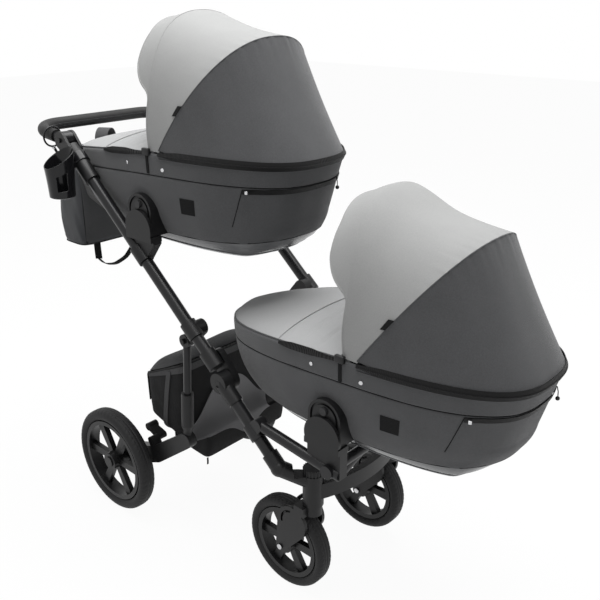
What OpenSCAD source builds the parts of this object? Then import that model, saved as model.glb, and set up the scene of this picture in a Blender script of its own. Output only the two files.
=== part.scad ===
// Twin pram: a black tandem frame that carries two equal carrycots with hoods.
// +X runs forward, +Y to the pram's left, +Z up. The origin is on the ground below the rear axle.

/* [Wheels] */
// Diameter of the rear tyres
rear_wheel_d = 300; // [260:5:320]
// Width of the rear tyres
rear_tyre_w = 46; // [40:1:50]
// Rear wheel centres apart
rear_track = 494; // [480:2:540]
// Diameter of the front tyres
front_wheel_d = 240; // [220:5:250]
// Width of the front tyres
front_tyre_w = 44; // [38:1:46]
// Front wheel centres apart
front_track = 308; // [290:2:330]
// Rear axle to front axle
wheelbase = 582; // [560:2:610]
// Distance of the front axle behind its swivel axis
caster_trail = 74; // [70:1:80]

/* [Frame] */
// Diameter of the main tubes
tube_d = 30; // [26:1:32]
// Main tube centres apart
frame_w = 424; // [416:1:434]
// Slope of the main tubes below the horizontal, degrees
tube_slope = 41.2; // [40:0.2:43]
// Fold hinge ahead of the rear axle
fold_x = 420; // [410:1:430]
// Fold hinge above the ground
fold_z = 524; // [515:1:535]
// Handle pivot to fold hinge, along the tube
upper_tube_l = 754; // [740:1:770]
// Fold hinge to the front socket, along the tube
lower_tube_l = 242; // [235:1:250]
// Upper tube axis above the fold hinge
hinge_offset = 13.6; // [8:0.2:16]
// Sleeve over a tube: wall
collar_wall = 5; // [4:0.5:7]

/* [Handle] */
// Handle pivot to the middle of the rear bar
handle_reach = 158; // [150:1:170]
// Rise of the handle to the rear, degrees
handle_rise = 6; // [3:1:10]
// Radius of the handle's bends
handle_bend_r = 78; // [60:1:90]
// Diameter of the handle tube
handle_tube_d = 24; // [20:1:26]
// Diameter of the padded grip
grip_d = 33; // [30:1:36]

/* [Carrycots] */
// Length over the rim
cot_l = 808; // [790:2:820]
// Width over the rim
cot_w = 416; // [404:2:420]
// Depth from rim to base
cot_depth = 235; // [225:1:245]
// Length of the flat base
cot_base_l = 500; // [460:5:540]
// Width of the flat base
cot_base_w = 220; // [190:5:240]
// Thickness of the padded wall
cot_wall = 6; // [4:0.5:8]
// Middle of the upper cot ahead of the rear axle
upper_cot_x = 143; // [136:1:150]
// Base of the upper cot above the ground
upper_cot_z = 800; // [790:1:812]
// Lower cot ahead of the upper one
cot_step_x = 583; // [576:1:592]
// Lower cot below the upper one
cot_step_z = 345; // [338:1:348]
// Rise of the padded apron over the rim
apron_crown = 24; // [15:1:35]

/* [Hoods] */
// Hood pivot ahead of the cot's middle
hood_pivot_x = 82; // [74:1:90]
// Hood radius at the front bow
hood_front_r = 307; // [295:1:318]
// Hood radius at the middle bow
hood_mid_r = 309; // [297:1:320]
// Forward reach of the brim past the front bow, degrees
brim_angle = 15; // [8:1:18]
// Thickness of the hood cloth
hood_wall = 4; // [3:0.5:5]

/* [Basket and bag] */
// Width of the basket
basket_w = 300; // [270:2:310]
// Rear edge of the basket's lid above the ground
basket_rear_z = 396; // [380:1:405]
// Front edge of the basket's lid above the ground
basket_ridge_z = 480; // [465:1:490]
// Width of the bag
bag_w = 224; // [200:2:240]
// Height of the bag
bag_h = 235; // [210:2:245]
// Depth of the bag
bag_depth = 128; // [110:1:132]

/* [Hidden] */
$fn = 48;

// Overrun of cuts, gap between pieces that move, gap between pieces that are seated
cut = 1;
run_gap = 0.5;
seat_gap = 0.15;

// Wheels
rear_r = rear_wheel_d / 2;
rear_y = rear_track / 2;
front_r = front_wheel_d / 2;
front_y = front_track / 2;
rear_tyre_h = 31;
front_tyre_h = 26;
rim_wall = 12;
rim_side = 5;
hub_r = 25;
hub_over = 2;
spoke_t = 15;
spoke_count = 6;
spoke_root_w = 17;
spoke_tip_w = 25;
axle_r = 7;
cap_r = 15;
cap_t = 3;

// Main tubes: unit vectors along and square to the tube, in the XZ plane
tube_r = tube_d / 2;
tube_y = frame_w / 2;
collar_r = tube_r + collar_wall;
along = [cos(tube_slope), -sin(tube_slope)];
above = [sin(tube_slope), cos(tube_slope)];
fold = [fold_x, fold_z];
tube_foot = fold + hinge_offset * above;
pivot = tube_foot - upper_tube_l * along;
function on_upper(s) = pivot + s * along;
function on_lower(s) = fold + s * along;

// Fold hinge
knuckle_r = 27;
knuckle_inset = 17;
knuckle_y0 = tube_y - tube_r - knuckle_inset;
knuckle_t = 16;
fold_pin_r = 8;
knuckle_clear = 7;
tube_gap = knuckle_r + knuckle_clear;
plate_step = 1;
knuckle_collar_l = 46;

// Handle joint
joint_r = 23;
joint_t = 24;
cheek_t = 7;
cheek_end = 34;
cheek_end_r = 18;
joint_step = 1;
joint_pin_r = 6;
socket_start = 27;
socket_end = 138;
tube_start = 34;
grip_start = 44;

// Rear legs, brackets and suspension
leg_y = 200;
leg_top = [284, 588];
leg_foot = [264, 296];
leg_l = norm(leg_foot - leg_top);
leg_dir = (leg_foot - leg_top) / leg_l;
leg_tilt = atan2(leg_dir[0], -leg_dir[1]);
rod_r = 10;
rod_l = 205;
eye_r = 17;
eye_t = 21;
leg_pin_r = 7;
sleeve_r = 16;
sleeve_start = 152;
sleeve_end = 247;
sleeve_taper = 18;
sleeve_depth = 232;
stub_r = 11;
bracket_from_foot = 144;
bracket_at = upper_tube_l - bracket_from_foot;
bracket_l = 44;
bracket_t = 10;
arm_t = 26;
arm_mid = [140, 205];
arm_foot_r = 21;
arm_mid_r = 24;
arm_hub_r = 28;
crossbar_r = 13;
brake_pivot = [118, 240];
brake_boss_r = 10;
brake_pin_r = 4;
brake_tip = [76, 254];
brake_tip_r = 7;
brake_w = 24;
brake_pad_w = 30;
brake_pad_t = 4;

// Front frame
swivel_x = wheelbase + caster_trail;
stem_r = 14;
crown_sink = 3;
crown_z0 = front_wheel_d - crown_sink;
crown_t = 25;
housing_lift = 1;
housing_z0 = crown_z0 + crown_t + housing_lift;
housing_h = 83;
housing_r = 25;
housing_top = housing_z0 + housing_h;
housing_cap = 14;
stem_top = housing_top - housing_cap;
fork_gap = 5;
fork_t = 9;
fork_axle_r = 15;
cover_at = [36, 86];
cover_r = 44;
cover_edge = 10;
cover_slot_w = 6;
cover_slot_angles = [95, 145, 195];
crown_back = 30;
crown_front = 22;
socket_l = 40;
socket_wall = 4.5;
elbow_drop = 24;
elbow_swell = 1.2;
knob_h = 16;
knob_r = 25;
knob_ribs = 20;
knob_rib_r = 2;
beam_sag = 33;
beam_h = 40;
beam_t = 18;
beam_lift = 22;
beam_z0 = housing_z0 + beam_lift;
beam_arc_r = (front_y * front_y + beam_sag * beam_sag) / (2 * beam_sag);
beam_arc = asin(front_y / beam_arc_r);
beam_centre_x = swivel_x + beam_sag - beam_arc_r + housing_r;
strut_foot_share = 0.6;
rail_r = 13;
rail_start = [540, 455];
rail_end = [780, 422.3];
rail_dir = (rail_end - rail_start) / norm(rail_end - rail_start);
rail_tip = 27;
rail_cross = rail_end - rail_tip * rail_dir;
rail_collar_at = 140;
rail_collar_l = 40;
rail_boss_r = 16;
strut_r = 10;
strut_y = 96;
support_r = 12;

// Adaptors and the cots' brackets
adaptor_x = 12;
bracket_w = 88;
bracket_z = 38;
bracket_h = 100;
bracket_out = 10;
bracket_band = 6;
bracket_recess = 4;
adaptor_t = 25;
adaptor_half = 46;
adaptor_sink = 8;
adaptor_from_foot = 377;
adaptor_at = upper_tube_l - adaptor_from_foot;
adaptor_collar_l = 46;
release_r = 9;
release_drop = 26;
release_t = 9;
release_proud = 5;
release_pocket = 13;
release_z = bracket_z + bracket_h - release_drop;
plate_out = 8.5;
plate_lift = 14;
plate_r = 48;
shelf_h = 14;

// Cup holder
cup_r = 36;
cup_wall = 2.5;
cup_h = 100;
cup_at = 68;
cup_clear = 2;
cup_top_over = 10;
cup_collar_l = 28;
cup_collar_wall = 3;
cup_window_w = 26;
cup_window_h = 46;
cup_window_turns = [-35, 90, 215];

// Carrycot form
half_l = cot_l / 2;
half_w = cot_w / 2;
base_half_l = cot_base_l / 2;
base_half_w = cot_base_w / 2;
head_power = 2.7;
foot_power = 2.4;
side_power = 2.2;
rim_slope = 24;
rim_dip = 25.5;
ring_points = 48;
base_shares = [0, 0.012, 0.04, 0.09, 0.16, 0.26];
tub_shares = [0.262, 0.4, 0.6, 0.8, 1];
base_t = 6;
mattress_inset = 20;
mattress_h = 42;
mattress_round = 12;
apron_t = 6;
apron_head = 66;
apron_toe_share = 0.006;
apron_rise_share = 1.2;
apron_start_share = 0.06;
apron_swell_power = 0.8;
apron_channel_power = 12;
apron_edge = 3;
apron_channel = 3.5;
apron_channels = 5;
apron_rows = 22;
apron_cols = 14;

// Hood form: angles are measured up from the head end, about the pivot
hood_lift = 4.5;
hood_pivot_z = rim_z(hood_pivot_x) + hood_lift;
hood_side_inset = 4;
hood_half_w = half_w - hood_side_inset;
hood_head_inset = 2;
hood_seam_angle = 54;
hood_front_angle = 101;
hood_power = 2.3;
brim_flare = 9;
brim_full_share = 0.6;
hood_start_angle = 2.5;
half_turn = 180;
hood_steps = 5;
brim_steps = 3;
seam_share = 0.001;
hood_points = 22;
bow_r = 4;
bow_clear = 3;
bow_inset = hood_wall + bow_r + bow_clear;
bow_sides = 8;
bow_points = 20;
bow_step = 9;
pivot_disc_r = 11;
pivot_disc_t = 6;
pivot_pin_r = 4;
pivot_lug_w = 16;
pivot_lug_t = 3;
pivot_lug_inset = 1.8;

// Basket
basket_y = basket_w / 2;
basket_rear = [33, basket_rear_z];
basket_ridge = [205, basket_ridge_z];
basket_heel = [38, 280];
basket_belly = [202, 228];
basket_toe = [279, 223];
tray_lip = [285, 270];
tray_rear = [214, 246];
basket_wall = 5;
tray_floor = 230;
lid_crown = 26;
lid_t = 6;
lid_lift = 0.6;
lid_span = norm(basket_ridge - basket_rear);
lid_slope = atan2(basket_ridge[1] - basket_rear[1], basket_ridge[0] - basket_rear[0]);
lid_arc_r = (lid_span * lid_span / 4 + lid_crown * lid_crown) / (2 * lid_crown);
strap_y = 128;
strap_w = 26;
strap_t = 3;

// Bag and the hooks that hold it on the handle's arms
hook_at = 64;
hook = pivot + hook_at * [-cos(handle_rise), sin(handle_rise)];
hook_wire_r = 2.5;
hook_r = 25.5;
hook_rise = 17.4;
hook_z = hook[1] + hook_rise + hook_wire_r - hook_r;
bag_top = 921;
bag_front = -264;
bag_x = bag_front - bag_depth / 2;
bag_corner_inset = 20;
bag_strap_r = 3.5;
bag_power = 5;
bag_points = 32;
bag_shares = [0, 0.02, 0.08, 0.3, 0.6, 0.86, 0.96, 1];
bag_swell_shares = [0.8, 0.9, 0.97, 1, 0.99, 0.95, 0.9, 0.82];

// Shared shapes
module left_right() {
    children();
    mirror([0, 1, 0])
        children();
}

module right_side() {
    mirror([0, 1, 0])
        children();
}

// A flat shape drawn in the XZ plane, extruded from y0 to y1
module side_plate(y0, y1) {
    translate([0, y1, 0])
        rotate([90, 0, 0])
            linear_extrude(y1 - y0)
                children();
}

// A cylinder along Y at a place in the XZ plane
module cross_pin(p, y0, y1, r) {
    translate([p[0], y0, p[1]])
        rotate([-90, 0, 0])
            cylinder(r = r, h = y1 - y0);
}

// A cylinder between two places in space
module rod(p, q, r) {
    d = q - p;
    translate(p)
        rotate([0, acos(d[2] / norm(d)), atan2(d[1], d[0])])
            cylinder(r = r, h = norm(d));
}

// A cylinder along a tube in a plane of constant y
module tube_run(p, q, y, r) {
    rod([p[0], y, p[1]], [q[0], y, q[1]], r);
}

// Two circles and their outer tangents
module drop_shape(p, rp, q, rq) {
    d = q - p;
    a = atan2(d[1], d[0]);
    b = acos((rp - rq) / norm(d));
    translate(p)
        circle(rp);
    translate(q)
        circle(rq);
    polygon([
        p + rp * [cos(a + b), sin(a + b)],
        q + rq * [cos(a + b), sin(a + b)],
        q + rq * [cos(a - b), sin(a - b)],
        p + rp * [cos(a - b), sin(a - b)]]);
}

// A skin over rings of points: capped at both ends, or joined from last to first. A sheet's rings run out
// along one face and back along the other, and each of its ends is closed by a strip between the two.
module loft(rings, joined = false, sheet = false) {
    n = len(rings[0]);
    m = len(rings);
    points = [for (ring = rings) each ring];
    last = joined ? m - 1 : m - 2;
    sides = [for (j = [0 : last], i = [0 : n - 1], half = [0, 1])
        let (a = j * n + i, b = j * n + (i + 1) % n, k = ((j + 1) % m) * n,
            c = k + (i + 1) % n, d = k + i)
        half == 0 ? [a, c, b] : [a, d, c]];
    strip = [for (i = [0 : n / 2 - 2], half = [0, 1])
        half == 0 ? [i, i + 1, n - 1 - i] : [i + 1, n - 2 - i, n - 1 - i]];
    start = sheet ? strip : [[for (i = [0 : n - 1]) i]];
    end = [for (face = start) [for (i = [len(face) - 1 : -1 : 0]) (m - 1) * n + face[i]]];
    polyhedron(points = points, faces = joined ? sides : concat(sides, start, end), convexity = 6);
}

// Wheels, drawn about Y with the middle of the tyre at y = 0
module tyre(r, w, h) {
    round_r = h / 2;
    shift = w / 2 - round_r;
    seat = r - h;
    rotate([90, 0, 0])
        rotate_extrude($fn = 96)
            translate([seat + round_r, 0]) {
                translate([0, shift])
                    circle(round_r);
                translate([0, -shift])
                    circle(round_r);
                translate([-round_r, -shift])
                    square([h, 2 * shift]);
            }
}

// One spoke, wider at the rim than at the hub
module spoke(length) {
    polygon([
        [0, -spoke_root_w / 2],
        [length, -spoke_tip_w / 2],
        [length, spoke_tip_w / 2],
        [0, spoke_root_w / 2]]);
}

module rim(r, w, h) {
    outer = r - h - seat_gap;
    inner = outer - rim_wall;
    wide = w - 2 * rim_side;
    hub_w = w + 2 * hub_over;
    rotate([90, 0, 0])
        difference() {
            union() {
                translate([0, 0, -wide / 2])
                    difference() {
                        cylinder(r = outer, h = wide, $fn = 96);
                        translate([0, 0, -cut])
                            cylinder(r = inner, h = wide + 2 * cut, $fn = 96);
                    }
                translate([0, 0, -hub_w / 2])
                    cylinder(r = hub_r, h = hub_w);
                translate([0, 0, -spoke_t / 2])
                    linear_extrude(spoke_t)
                        intersection() {
                            circle(inner + rim_wall / 2, $fn = 96);
                            for (i = [0 : spoke_count - 1])
                                rotate(i * 360 / spoke_count)
                                    spoke(outer);
                        }
            }
            translate([0, 0, -hub_w])
                cylinder(r = axle_r + run_gap, h = 2 * hub_w);
        }
}

module rear_tyre() {
    color("#2a2a2c")
        translate([0, rear_y, rear_r])
            tyre(rear_r, rear_tyre_w, rear_tyre_h);
}

module rear_rim() {
    color("#1c1c1e")
        translate([0, rear_y, rear_r])
            rim(rear_r, rear_tyre_w, rear_tyre_h);
}

module front_tyre() {
    color("#2a2a2c")
        translate([wheelbase, front_y, front_r])
            tyre(front_r, front_tyre_w, front_tyre_h);
}

module front_rim() {
    color("#1c1c1e")
        translate([wheelbase, front_y, front_r])
            rim(front_r, front_tyre_w, front_tyre_h);
}

// Main frame, rear part
module main_tubes() {
    color("#232325")
        left_right()
            tube_run(on_upper(tube_start), on_upper(upper_tube_l - tube_gap), tube_y, tube_r);
}

module handle_sockets() {
    color("#1b1b1d")
        left_right()
            difference() {
                union() {
                    tube_run(on_upper(socket_start), on_upper(socket_end), tube_y, collar_r);
                    for (side = [-1, 1])
                        side_plate(
                            tube_y + side * (joint_t + cheek_t) / 2 - cheek_t / 2 + side * run_gap,
                            tube_y + side * (joint_t + cheek_t) / 2 + cheek_t / 2 + side * run_gap)
                            drop_shape(pivot, joint_r, on_upper(cheek_end), cheek_end_r);
                    cross_pin(pivot, tube_y - joint_t, tube_y + joint_t, joint_pin_r);
                }
                tube_run(on_upper(tube_start), on_upper(socket_end + cut), tube_y, tube_r + seat_gap);
            }
}

module fold_knuckles() {
    color("#161618")
        left_right()
            difference() {
                union() {
                    side_plate(knuckle_y0, knuckle_y0 + knuckle_t)
                        drop_shape(
                            fold, knuckle_r,
                            on_upper(upper_tube_l - tube_gap - knuckle_collar_l / 2), collar_r);
                    tube_run(
                        on_upper(upper_tube_l - tube_gap - knuckle_collar_l),
                        on_upper(upper_tube_l - tube_gap), tube_y, collar_r);
                    cross_pin(fold, knuckle_y0, tube_y + tube_r, fold_pin_r);
                }
                tube_run(
                    on_upper(upper_tube_l / 2), on_upper(upper_tube_l - tube_gap + cut), tube_y,
                    tube_r + seat_gap);
            }
}

module leg_brackets() {
    plate_y = leg_y - eye_t / 2 - run_gap;
    color("#161618")
        left_right()
            difference() {
                union() {
                    side_plate(plate_y - bracket_t, plate_y)
                        drop_shape(leg_top, eye_r, on_upper(bracket_at), collar_r);
                    tube_run(
                        on_upper(bracket_at - bracket_l / 2), on_upper(bracket_at + bracket_l / 2),
                        tube_y, collar_r);
                    cross_pin(on_upper(bracket_at), plate_y - bracket_t, tube_y, collar_r);
                    cross_pin(leg_top, plate_y - bracket_t, leg_y + eye_t / 2 + cheek_t, leg_pin_r);
                }
                tube_run(on_upper(upper_tube_l / 2), on_upper(upper_tube_l), tube_y, tube_r + seat_gap);
            }
}

// A place along the rear leg, measured down from its upper eye
function on_leg(s) = leg_top + s * leg_dir;

module leg_rods() {
    color("#303033")
        left_right()
            difference() {
                union() {
                    cross_pin(leg_top, leg_y - eye_t / 2, leg_y + eye_t / 2, eye_r);
                    tube_run(leg_top, on_leg(rod_l), leg_y, rod_r);
                }
                cross_pin(leg_top, leg_y - eye_t, leg_y + eye_t, leg_pin_r + seat_gap);
            }
}

module leg_sleeves() {
    color("#1e1e20")
        left_right()
            difference() {
                translate([leg_top[0], leg_y, leg_top[1]])
                    rotate([0, 180 - leg_tilt, 0])
                        difference() {
                            union() {
                                translate([0, 0, sleeve_start])
                                    cylinder(r = sleeve_r, h = sleeve_end - sleeve_start);
                                translate([0, 0, sleeve_end])
                                    cylinder(r1 = sleeve_r, r2 = stub_r, h = sleeve_taper);
                                translate([0, 0, sleeve_end + sleeve_taper])
                                    cylinder(r = stub_r, h = leg_l - sleeve_end - sleeve_taper);
                            }
                            translate([0, 0, sleeve_start - cut])
                                cylinder(r = rod_r + run_gap, h = sleeve_depth - sleeve_start + cut);
                        }
                cross_pin(leg_foot, leg_y - arm_t, leg_y + arm_t, arm_foot_r + seat_gap);
            }
}

module swing_arms() {
    color("#1a1a1c")
        left_right()
            difference() {
                side_plate(leg_y - arm_t / 2, leg_y + arm_t / 2) {
                    drop_shape(leg_foot, arm_foot_r, arm_mid, arm_mid_r);
                    drop_shape(arm_mid, arm_mid_r, [0, rear_r], arm_hub_r);
                    drop_shape(arm_mid, arm_mid_r / 2, brake_pivot, brake_boss_r);
                }
                cross_pin([0, rear_r], leg_y - arm_t, leg_y + arm_t, axle_r + seat_gap);
                cross_pin(brake_pivot, leg_y - arm_t, leg_y + arm_t, brake_pin_r + seat_gap);
            }
}

module rear_crossbar() {
    half = leg_y - arm_t / 2;
    color("#1e1e20")
        cross_pin(arm_mid, -half, half, crossbar_r);
}

module rear_axles() {
    axle_end = rear_y + rear_tyre_w / 2 + hub_over + run_gap;
    color("silver")
        left_right() {
            cross_pin([0, rear_r], leg_y - arm_t / 2, axle_end + cap_t, axle_r);
            cross_pin([0, rear_r], axle_end, axle_end + cap_t, cap_r);
            cross_pin(
                [0, rear_r], leg_y + arm_t / 2 + seat_gap,
                rear_y - rear_tyre_w / 2 - hub_over - run_gap, cap_r);
        }
}

module brake_pedal() {
    y1 = -(leg_y - arm_t / 2 - run_gap);
    y2 = y1 + brake_w;
    color("#121214") {
        side_plate(y1, y2)
            drop_shape(brake_pivot, brake_boss_r, brake_tip, brake_tip_r);
        cross_pin(brake_pivot, -(leg_y + arm_t / 2), y2, brake_pin_r);
        side_plate(y1, y1 + brake_pad_w)
            translate(brake_tip)
                circle(brake_tip_r + brake_pad_t);
    }
}

// Main frame, front part
module front_tubes() {
    color("#232325")
        left_right()
            tube_run(on_lower(tube_gap), on_lower(lower_tube_l), tube_y, tube_r);
}

module fold_plates() {
    disc_y0 = knuckle_y0 + knuckle_t + run_gap;
    color("#161618")
        left_right()
            difference() {
                union() {
                    cross_pin(fold, disc_y0, tube_y + tube_r, knuckle_r - plate_step);
                    tube_run(fold, on_lower(tube_gap + knuckle_r), tube_y, collar_r - plate_step);
                }
                tube_run(on_lower(tube_gap), on_lower(lower_tube_l), tube_y, tube_r + seat_gap);
                cross_pin(fold, knuckle_y0, tube_y + collar_r + cut, fold_pin_r + run_gap);
                cross_pin(fold, knuckle_y0, disc_y0, 2 * knuckle_r);
            }
}

// Socket, elbow and swivel housing of one caster
module caster_housings() {
    tube_end = on_lower(lower_tube_l);
    mouth = on_lower(lower_tube_l - socket_l);
    elbow = [tube_end[0], tube_y, tube_end[1]];
    reach = [swivel_x, front_y, housing_top - elbow_drop];
    shell_r = tube_r + socket_wall;
    color("#161618")
        left_right()
            difference() {
                union() {
                    translate([swivel_x, front_y, housing_z0])
                        cylinder(r = housing_r, h = housing_h);
                    tube_run(mouth, tube_end, tube_y, shell_r);
                    translate(elbow)
                        sphere(shell_r + elbow_swell);
                    rod(elbow, reach, shell_r);
                }
                tube_run(mouth - cut * along, tube_end, tube_y, tube_r + seat_gap);
                translate([swivel_x, front_y, housing_z0 - cut])
                    cylinder(r = stem_r + run_gap, h = stem_top + run_gap - housing_z0 + cut);
                translate([swivel_x, front_y, housing_top])
                    cylinder(r = 2 * housing_r, h = 2 * housing_r);
            }
}

// Cross beam through the two housings, bowed forward
module front_beam() {
    color("#1a1a1c")
        difference() {
            translate([beam_centre_x, 0, beam_z0])
                rotate([0, 0, -beam_arc])
                    rotate_extrude(angle = 2 * beam_arc, $fn = 160)
                        translate([beam_arc_r - beam_t, 0])
                            square([beam_t, beam_h]);
            left_right()
                translate([swivel_x, front_y, 0])
                    cylinder(r = housing_r + seat_gap, h = 2 * housing_top);
        }
}

module seat_rails() {
    clamp = on_lower(rail_collar_at);
    color("#202022")
        left_right()
            difference() {
                union() {
                    tube_run(rail_start, rail_end, tube_y, rail_r);
                    tube_run(
                        on_lower(rail_collar_at - rail_collar_l / 2),
                        on_lower(rail_collar_at + rail_collar_l / 2), tube_y, collar_r);
                    side_plate(tube_y - rail_r, tube_y + rail_r)
                        drop_shape(clamp, rail_boss_r, rail_start, rail_boss_r);
                    cross_pin(rail_cross, tube_y - rail_boss_r, tube_y + rail_boss_r, rail_boss_r);
                }
                tube_run(on_lower(tube_gap), on_lower(lower_tube_l), tube_y, tube_r + seat_gap);
            }
}

// Cross tube between the rails and its two struts down to the beam
module rail_support() {
    half = tube_y - rail_boss_r;
    foot_x = swivel_x + beam_sag * strut_foot_share + housing_r - beam_t / 2;
    color("#2a2a2d") {
        cross_pin(rail_cross, -half, half, support_r);
        left_right()
            rod([foot_x, strut_y, beam_z0 + beam_h + seat_gap + strut_r / 2],
                [rail_cross[0], strut_y, rail_cross[1]], strut_r);
    }
}

module swivel_knob() {
    color("#0e0e10")
        translate([swivel_x, front_y, housing_top + run_gap]) {
            cylinder(r = knob_r - knob_rib_r, h = knob_h);
            for (i = [0 : knob_ribs - 1])
                rotate(i * 360 / knob_ribs)
                    translate([knob_r - knob_rib_r, 0, 0])
                        cylinder(r = knob_rib_r, h = knob_h, $fn = 16);
        }
}

// A broad leg, round above and narrow at the axle, with a curved slot along its rear edge
module fork_leg(axle) {
    cover = axle + cover_at;
    difference() {
        drop_shape(cover, cover_r, axle, fork_axle_r);
        intersection() {
            translate(cover)
                difference() {
                    circle(cover_r - cover_edge);
                    circle(cover_r - cover_edge - cover_slot_w);
                }
            polygon(concat([cover], [for (a = cover_slot_angles) cover + 2 * cover_r * [cos(a), sin(a)]]));
        }
    }
}

module caster_fork() {
    inside = front_tyre_w / 2 + fork_gap;
    outside = inside + fork_t;
    axle = [wheelbase, front_r];
    color("#131315")
        translate([0, front_y, 0]) {
            for (side = [-1, 1])
                side_plate(min(side * inside, side * outside), max(side * inside, side * outside))
                    fork_leg(axle);
            translate([swivel_x - crown_back, -outside, crown_z0])
                cube([crown_back, 2 * outside, crown_t]);
            translate([swivel_x, 0, crown_z0])
                cylinder(r = crown_front, h = crown_t);
            translate([swivel_x, 0, crown_z0])
                cylinder(r = stem_r, h = stem_top - crown_z0);
            cross_pin(axle, -outside - cap_t, outside + cap_t, axle_r);
        }
}

// Handle, drawn with its pivot at the origin and its bar to the rear, then raised
module bent_handle(r, start) {
    bar_x = -handle_reach;
    bend_x = bar_x + handle_bend_r;
    bend_y = tube_y - handle_bend_r;
    left_right() {
        rod([-start, tube_y, 0], [bend_x, tube_y, 0], r);
        translate([bend_x, bend_y, 0])
            rotate([0, 0, 90])
                rotate_extrude(angle = 90)
                    translate([handle_bend_r, 0])
                        circle(r);
    }
    rod([bar_x, -bend_y, 0], [bar_x, bend_y, 0], r);
}

module raised_handle() {
    translate([pivot[0], 0, pivot[1]])
        rotate([0, handle_rise, 0])
            children();
}

module handle_tube() {
    color("#1b1b1d")
        raised_handle()
            difference() {
                union() {
                    bent_handle(handle_tube_d / 2, 0);
                    left_right()
                        cross_pin([0, 0], tube_y - joint_t / 2, tube_y + joint_t / 2, joint_r - joint_step);
                }
                left_right()
                    cross_pin([0, 0], tube_y - joint_t, tube_y + joint_t, joint_pin_r + run_gap);
            }
}

module handle_grip() {
    color("#2b2a2a")
        raised_handle()
            difference() {
                bent_handle(grip_d / 2, grip_start);
                bent_handle(handle_tube_d / 2 + seat_gap, 0);
            }
}

module cup_holder() {
    clamp = on_upper(cup_at);
    cup_y = tube_y + collar_r + cup_clear + cup_r;
    top = clamp[1] + cup_top_over;
    color("#0c0c0e")
        right_side()
            difference() {
                union() {
                    translate([clamp[0], cup_y, top - cup_h])
                        cylinder(r = cup_r, h = cup_h);
                    tube_run(
                        on_upper(cup_at - cup_collar_l / 2), on_upper(cup_at + cup_collar_l / 2), tube_y,
                        collar_r + cup_collar_wall);
                    translate([clamp[0] - cup_collar_l / 2, tube_y + collar_r, clamp[1] - cup_collar_l / 2])
                        cube([cup_collar_l, cup_y - tube_y - collar_r, cup_collar_l / 2]);
                }
                tube_run(on_upper(0), on_upper(socket_end), tube_y, collar_r + seat_gap);
                translate([clamp[0], cup_y, top - cup_h + cup_wall])
                    cylinder(r = cup_r - cup_wall, h = cup_h);
                for (turn = cup_window_turns)
                    translate([clamp[0], cup_y, top - cup_h])
                        rotate([0, 0, turn])
                            translate([0, -cup_window_w / 2, cup_h / 4])
                                cube([2 * cup_r, cup_window_w, cup_window_h]);
            }
}

// Carrycots, drawn with the middle of the base at the origin
function fill(h) = pow(1 - pow(1 - h, side_power), 1 / side_power);
function half_length(h) = base_half_l + (half_l - base_half_l) * fill(h);
function half_width(h) = base_half_w + (half_w - base_half_w) * fill(h);
function rim_z(x) = cot_depth + rim_slope * x / half_l - rim_dip * pow(x / half_l, 2);
function egg(a, b, t) = let (p = cos(t) >= 0 ? head_power : foot_power)
    [a * sign(cos(t)) * pow(abs(cos(t)), 2 / p), b * sign(sin(t)) * pow(abs(sin(t)), 2 / p)];

// One level of the tub: h runs from 0 at the base to 1 at the rim
function cot_ring(h, inset, low = 0) = [for (i = [0 : ring_points - 1])
    let (a = half_length(h) - inset, b = half_width(h) - inset, p = egg(a, b, i * 360 / ring_points))
    [p[0], p[1], max(low, h * rim_z(p[0] * half_l / a))]];

function back_to_front(list) = [for (i = [len(list) - 1 : -1 : 0]) list[i]];

module place_upper() {
    translate([upper_cot_x, 0, upper_cot_z])
        children();
}

module place_lower() {
    translate([upper_cot_x + cot_step_x, 0, upper_cot_z - cot_step_z])
        children();
}

module cot_solid() {
    loft([for (h = concat(base_shares, tub_shares)) cot_ring(h, 0)]);
}

module cot_base() {
    color("#7d8084")
        loft(concat(
            [for (h = base_shares) cot_ring(h, 0)],
            [for (i = [len(base_shares) - 1 : -1 : 1]) cot_ring(base_shares[i], base_t, base_t)]));
}

module cot_tub() {
    color("#55585c")
        loft(concat(
            [for (h = tub_shares) cot_ring(h, 0)],
            [for (h = back_to_front(tub_shares)) cot_ring(h, cot_wall)]), joined = true);
}

// Mattress with rounded edges
module cot_mattress() {
    low = base_t + seat_gap;
    a = half_length(base_shares[1]) - base_t - mattress_inset;
    b = half_width(base_shares[1]) - base_t - mattress_inset;
    levels = [[0, mattress_round], [mattress_round / 2, mattress_round / 4], [mattress_round, 0],
        [mattress_h - mattress_round, 0], [mattress_h - mattress_round / 2, mattress_round / 4],
        [mattress_h, mattress_round]];
    color("#e6e4df")
        loft([for (level = levels)
            [for (i = [0 : ring_points - 1])
                let (p = egg(a - level[1], b - level[1], i * 360 / ring_points))
                [p[0], p[1], low + level[0]]]]);
}

// Padded apron: crowned across, quilted along in channels that fade to the rim
function apron_x(s) = -half_l * (1 - apron_toe_share) + (half_l * (1 - apron_toe_share) + apron_head) * s;
function apron_half(x) = (half_w - apron_edge) * pow(1 - pow(abs(x) / half_l, foot_power), 1 / foot_power);
function apron_swell(s) = pow(
    sin(90 * min(1, (s + apron_start_share) * apron_rise_share)), apron_swell_power);
function apron_groove(s) = apron_channel * pow(abs(cos(180 * s * apron_channels)), apron_channel_power);
function apron_z(s, t) = rim_z(apron_x(s)) + seat_gap
    + (apron_crown - apron_groove(s)) * (1 - t * t) * apron_swell(s);

module cot_apron() {
    color("#b9bcbe")
        loft([for (j = [0 : apron_rows])
            let (s = j / apron_rows, x = apron_x(s), w = apron_half(x))
            concat(
                [for (i = [0 : apron_cols]) let (t = 2 * i / apron_cols - 1) [x, w * t, apron_z(s, t)]],
                [for (i = [apron_cols : -1 : 0]) let (t = 2 * i / apron_cols - 1)
                    [x, w * t, apron_z(s, t) + apron_t]])]);
}

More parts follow.
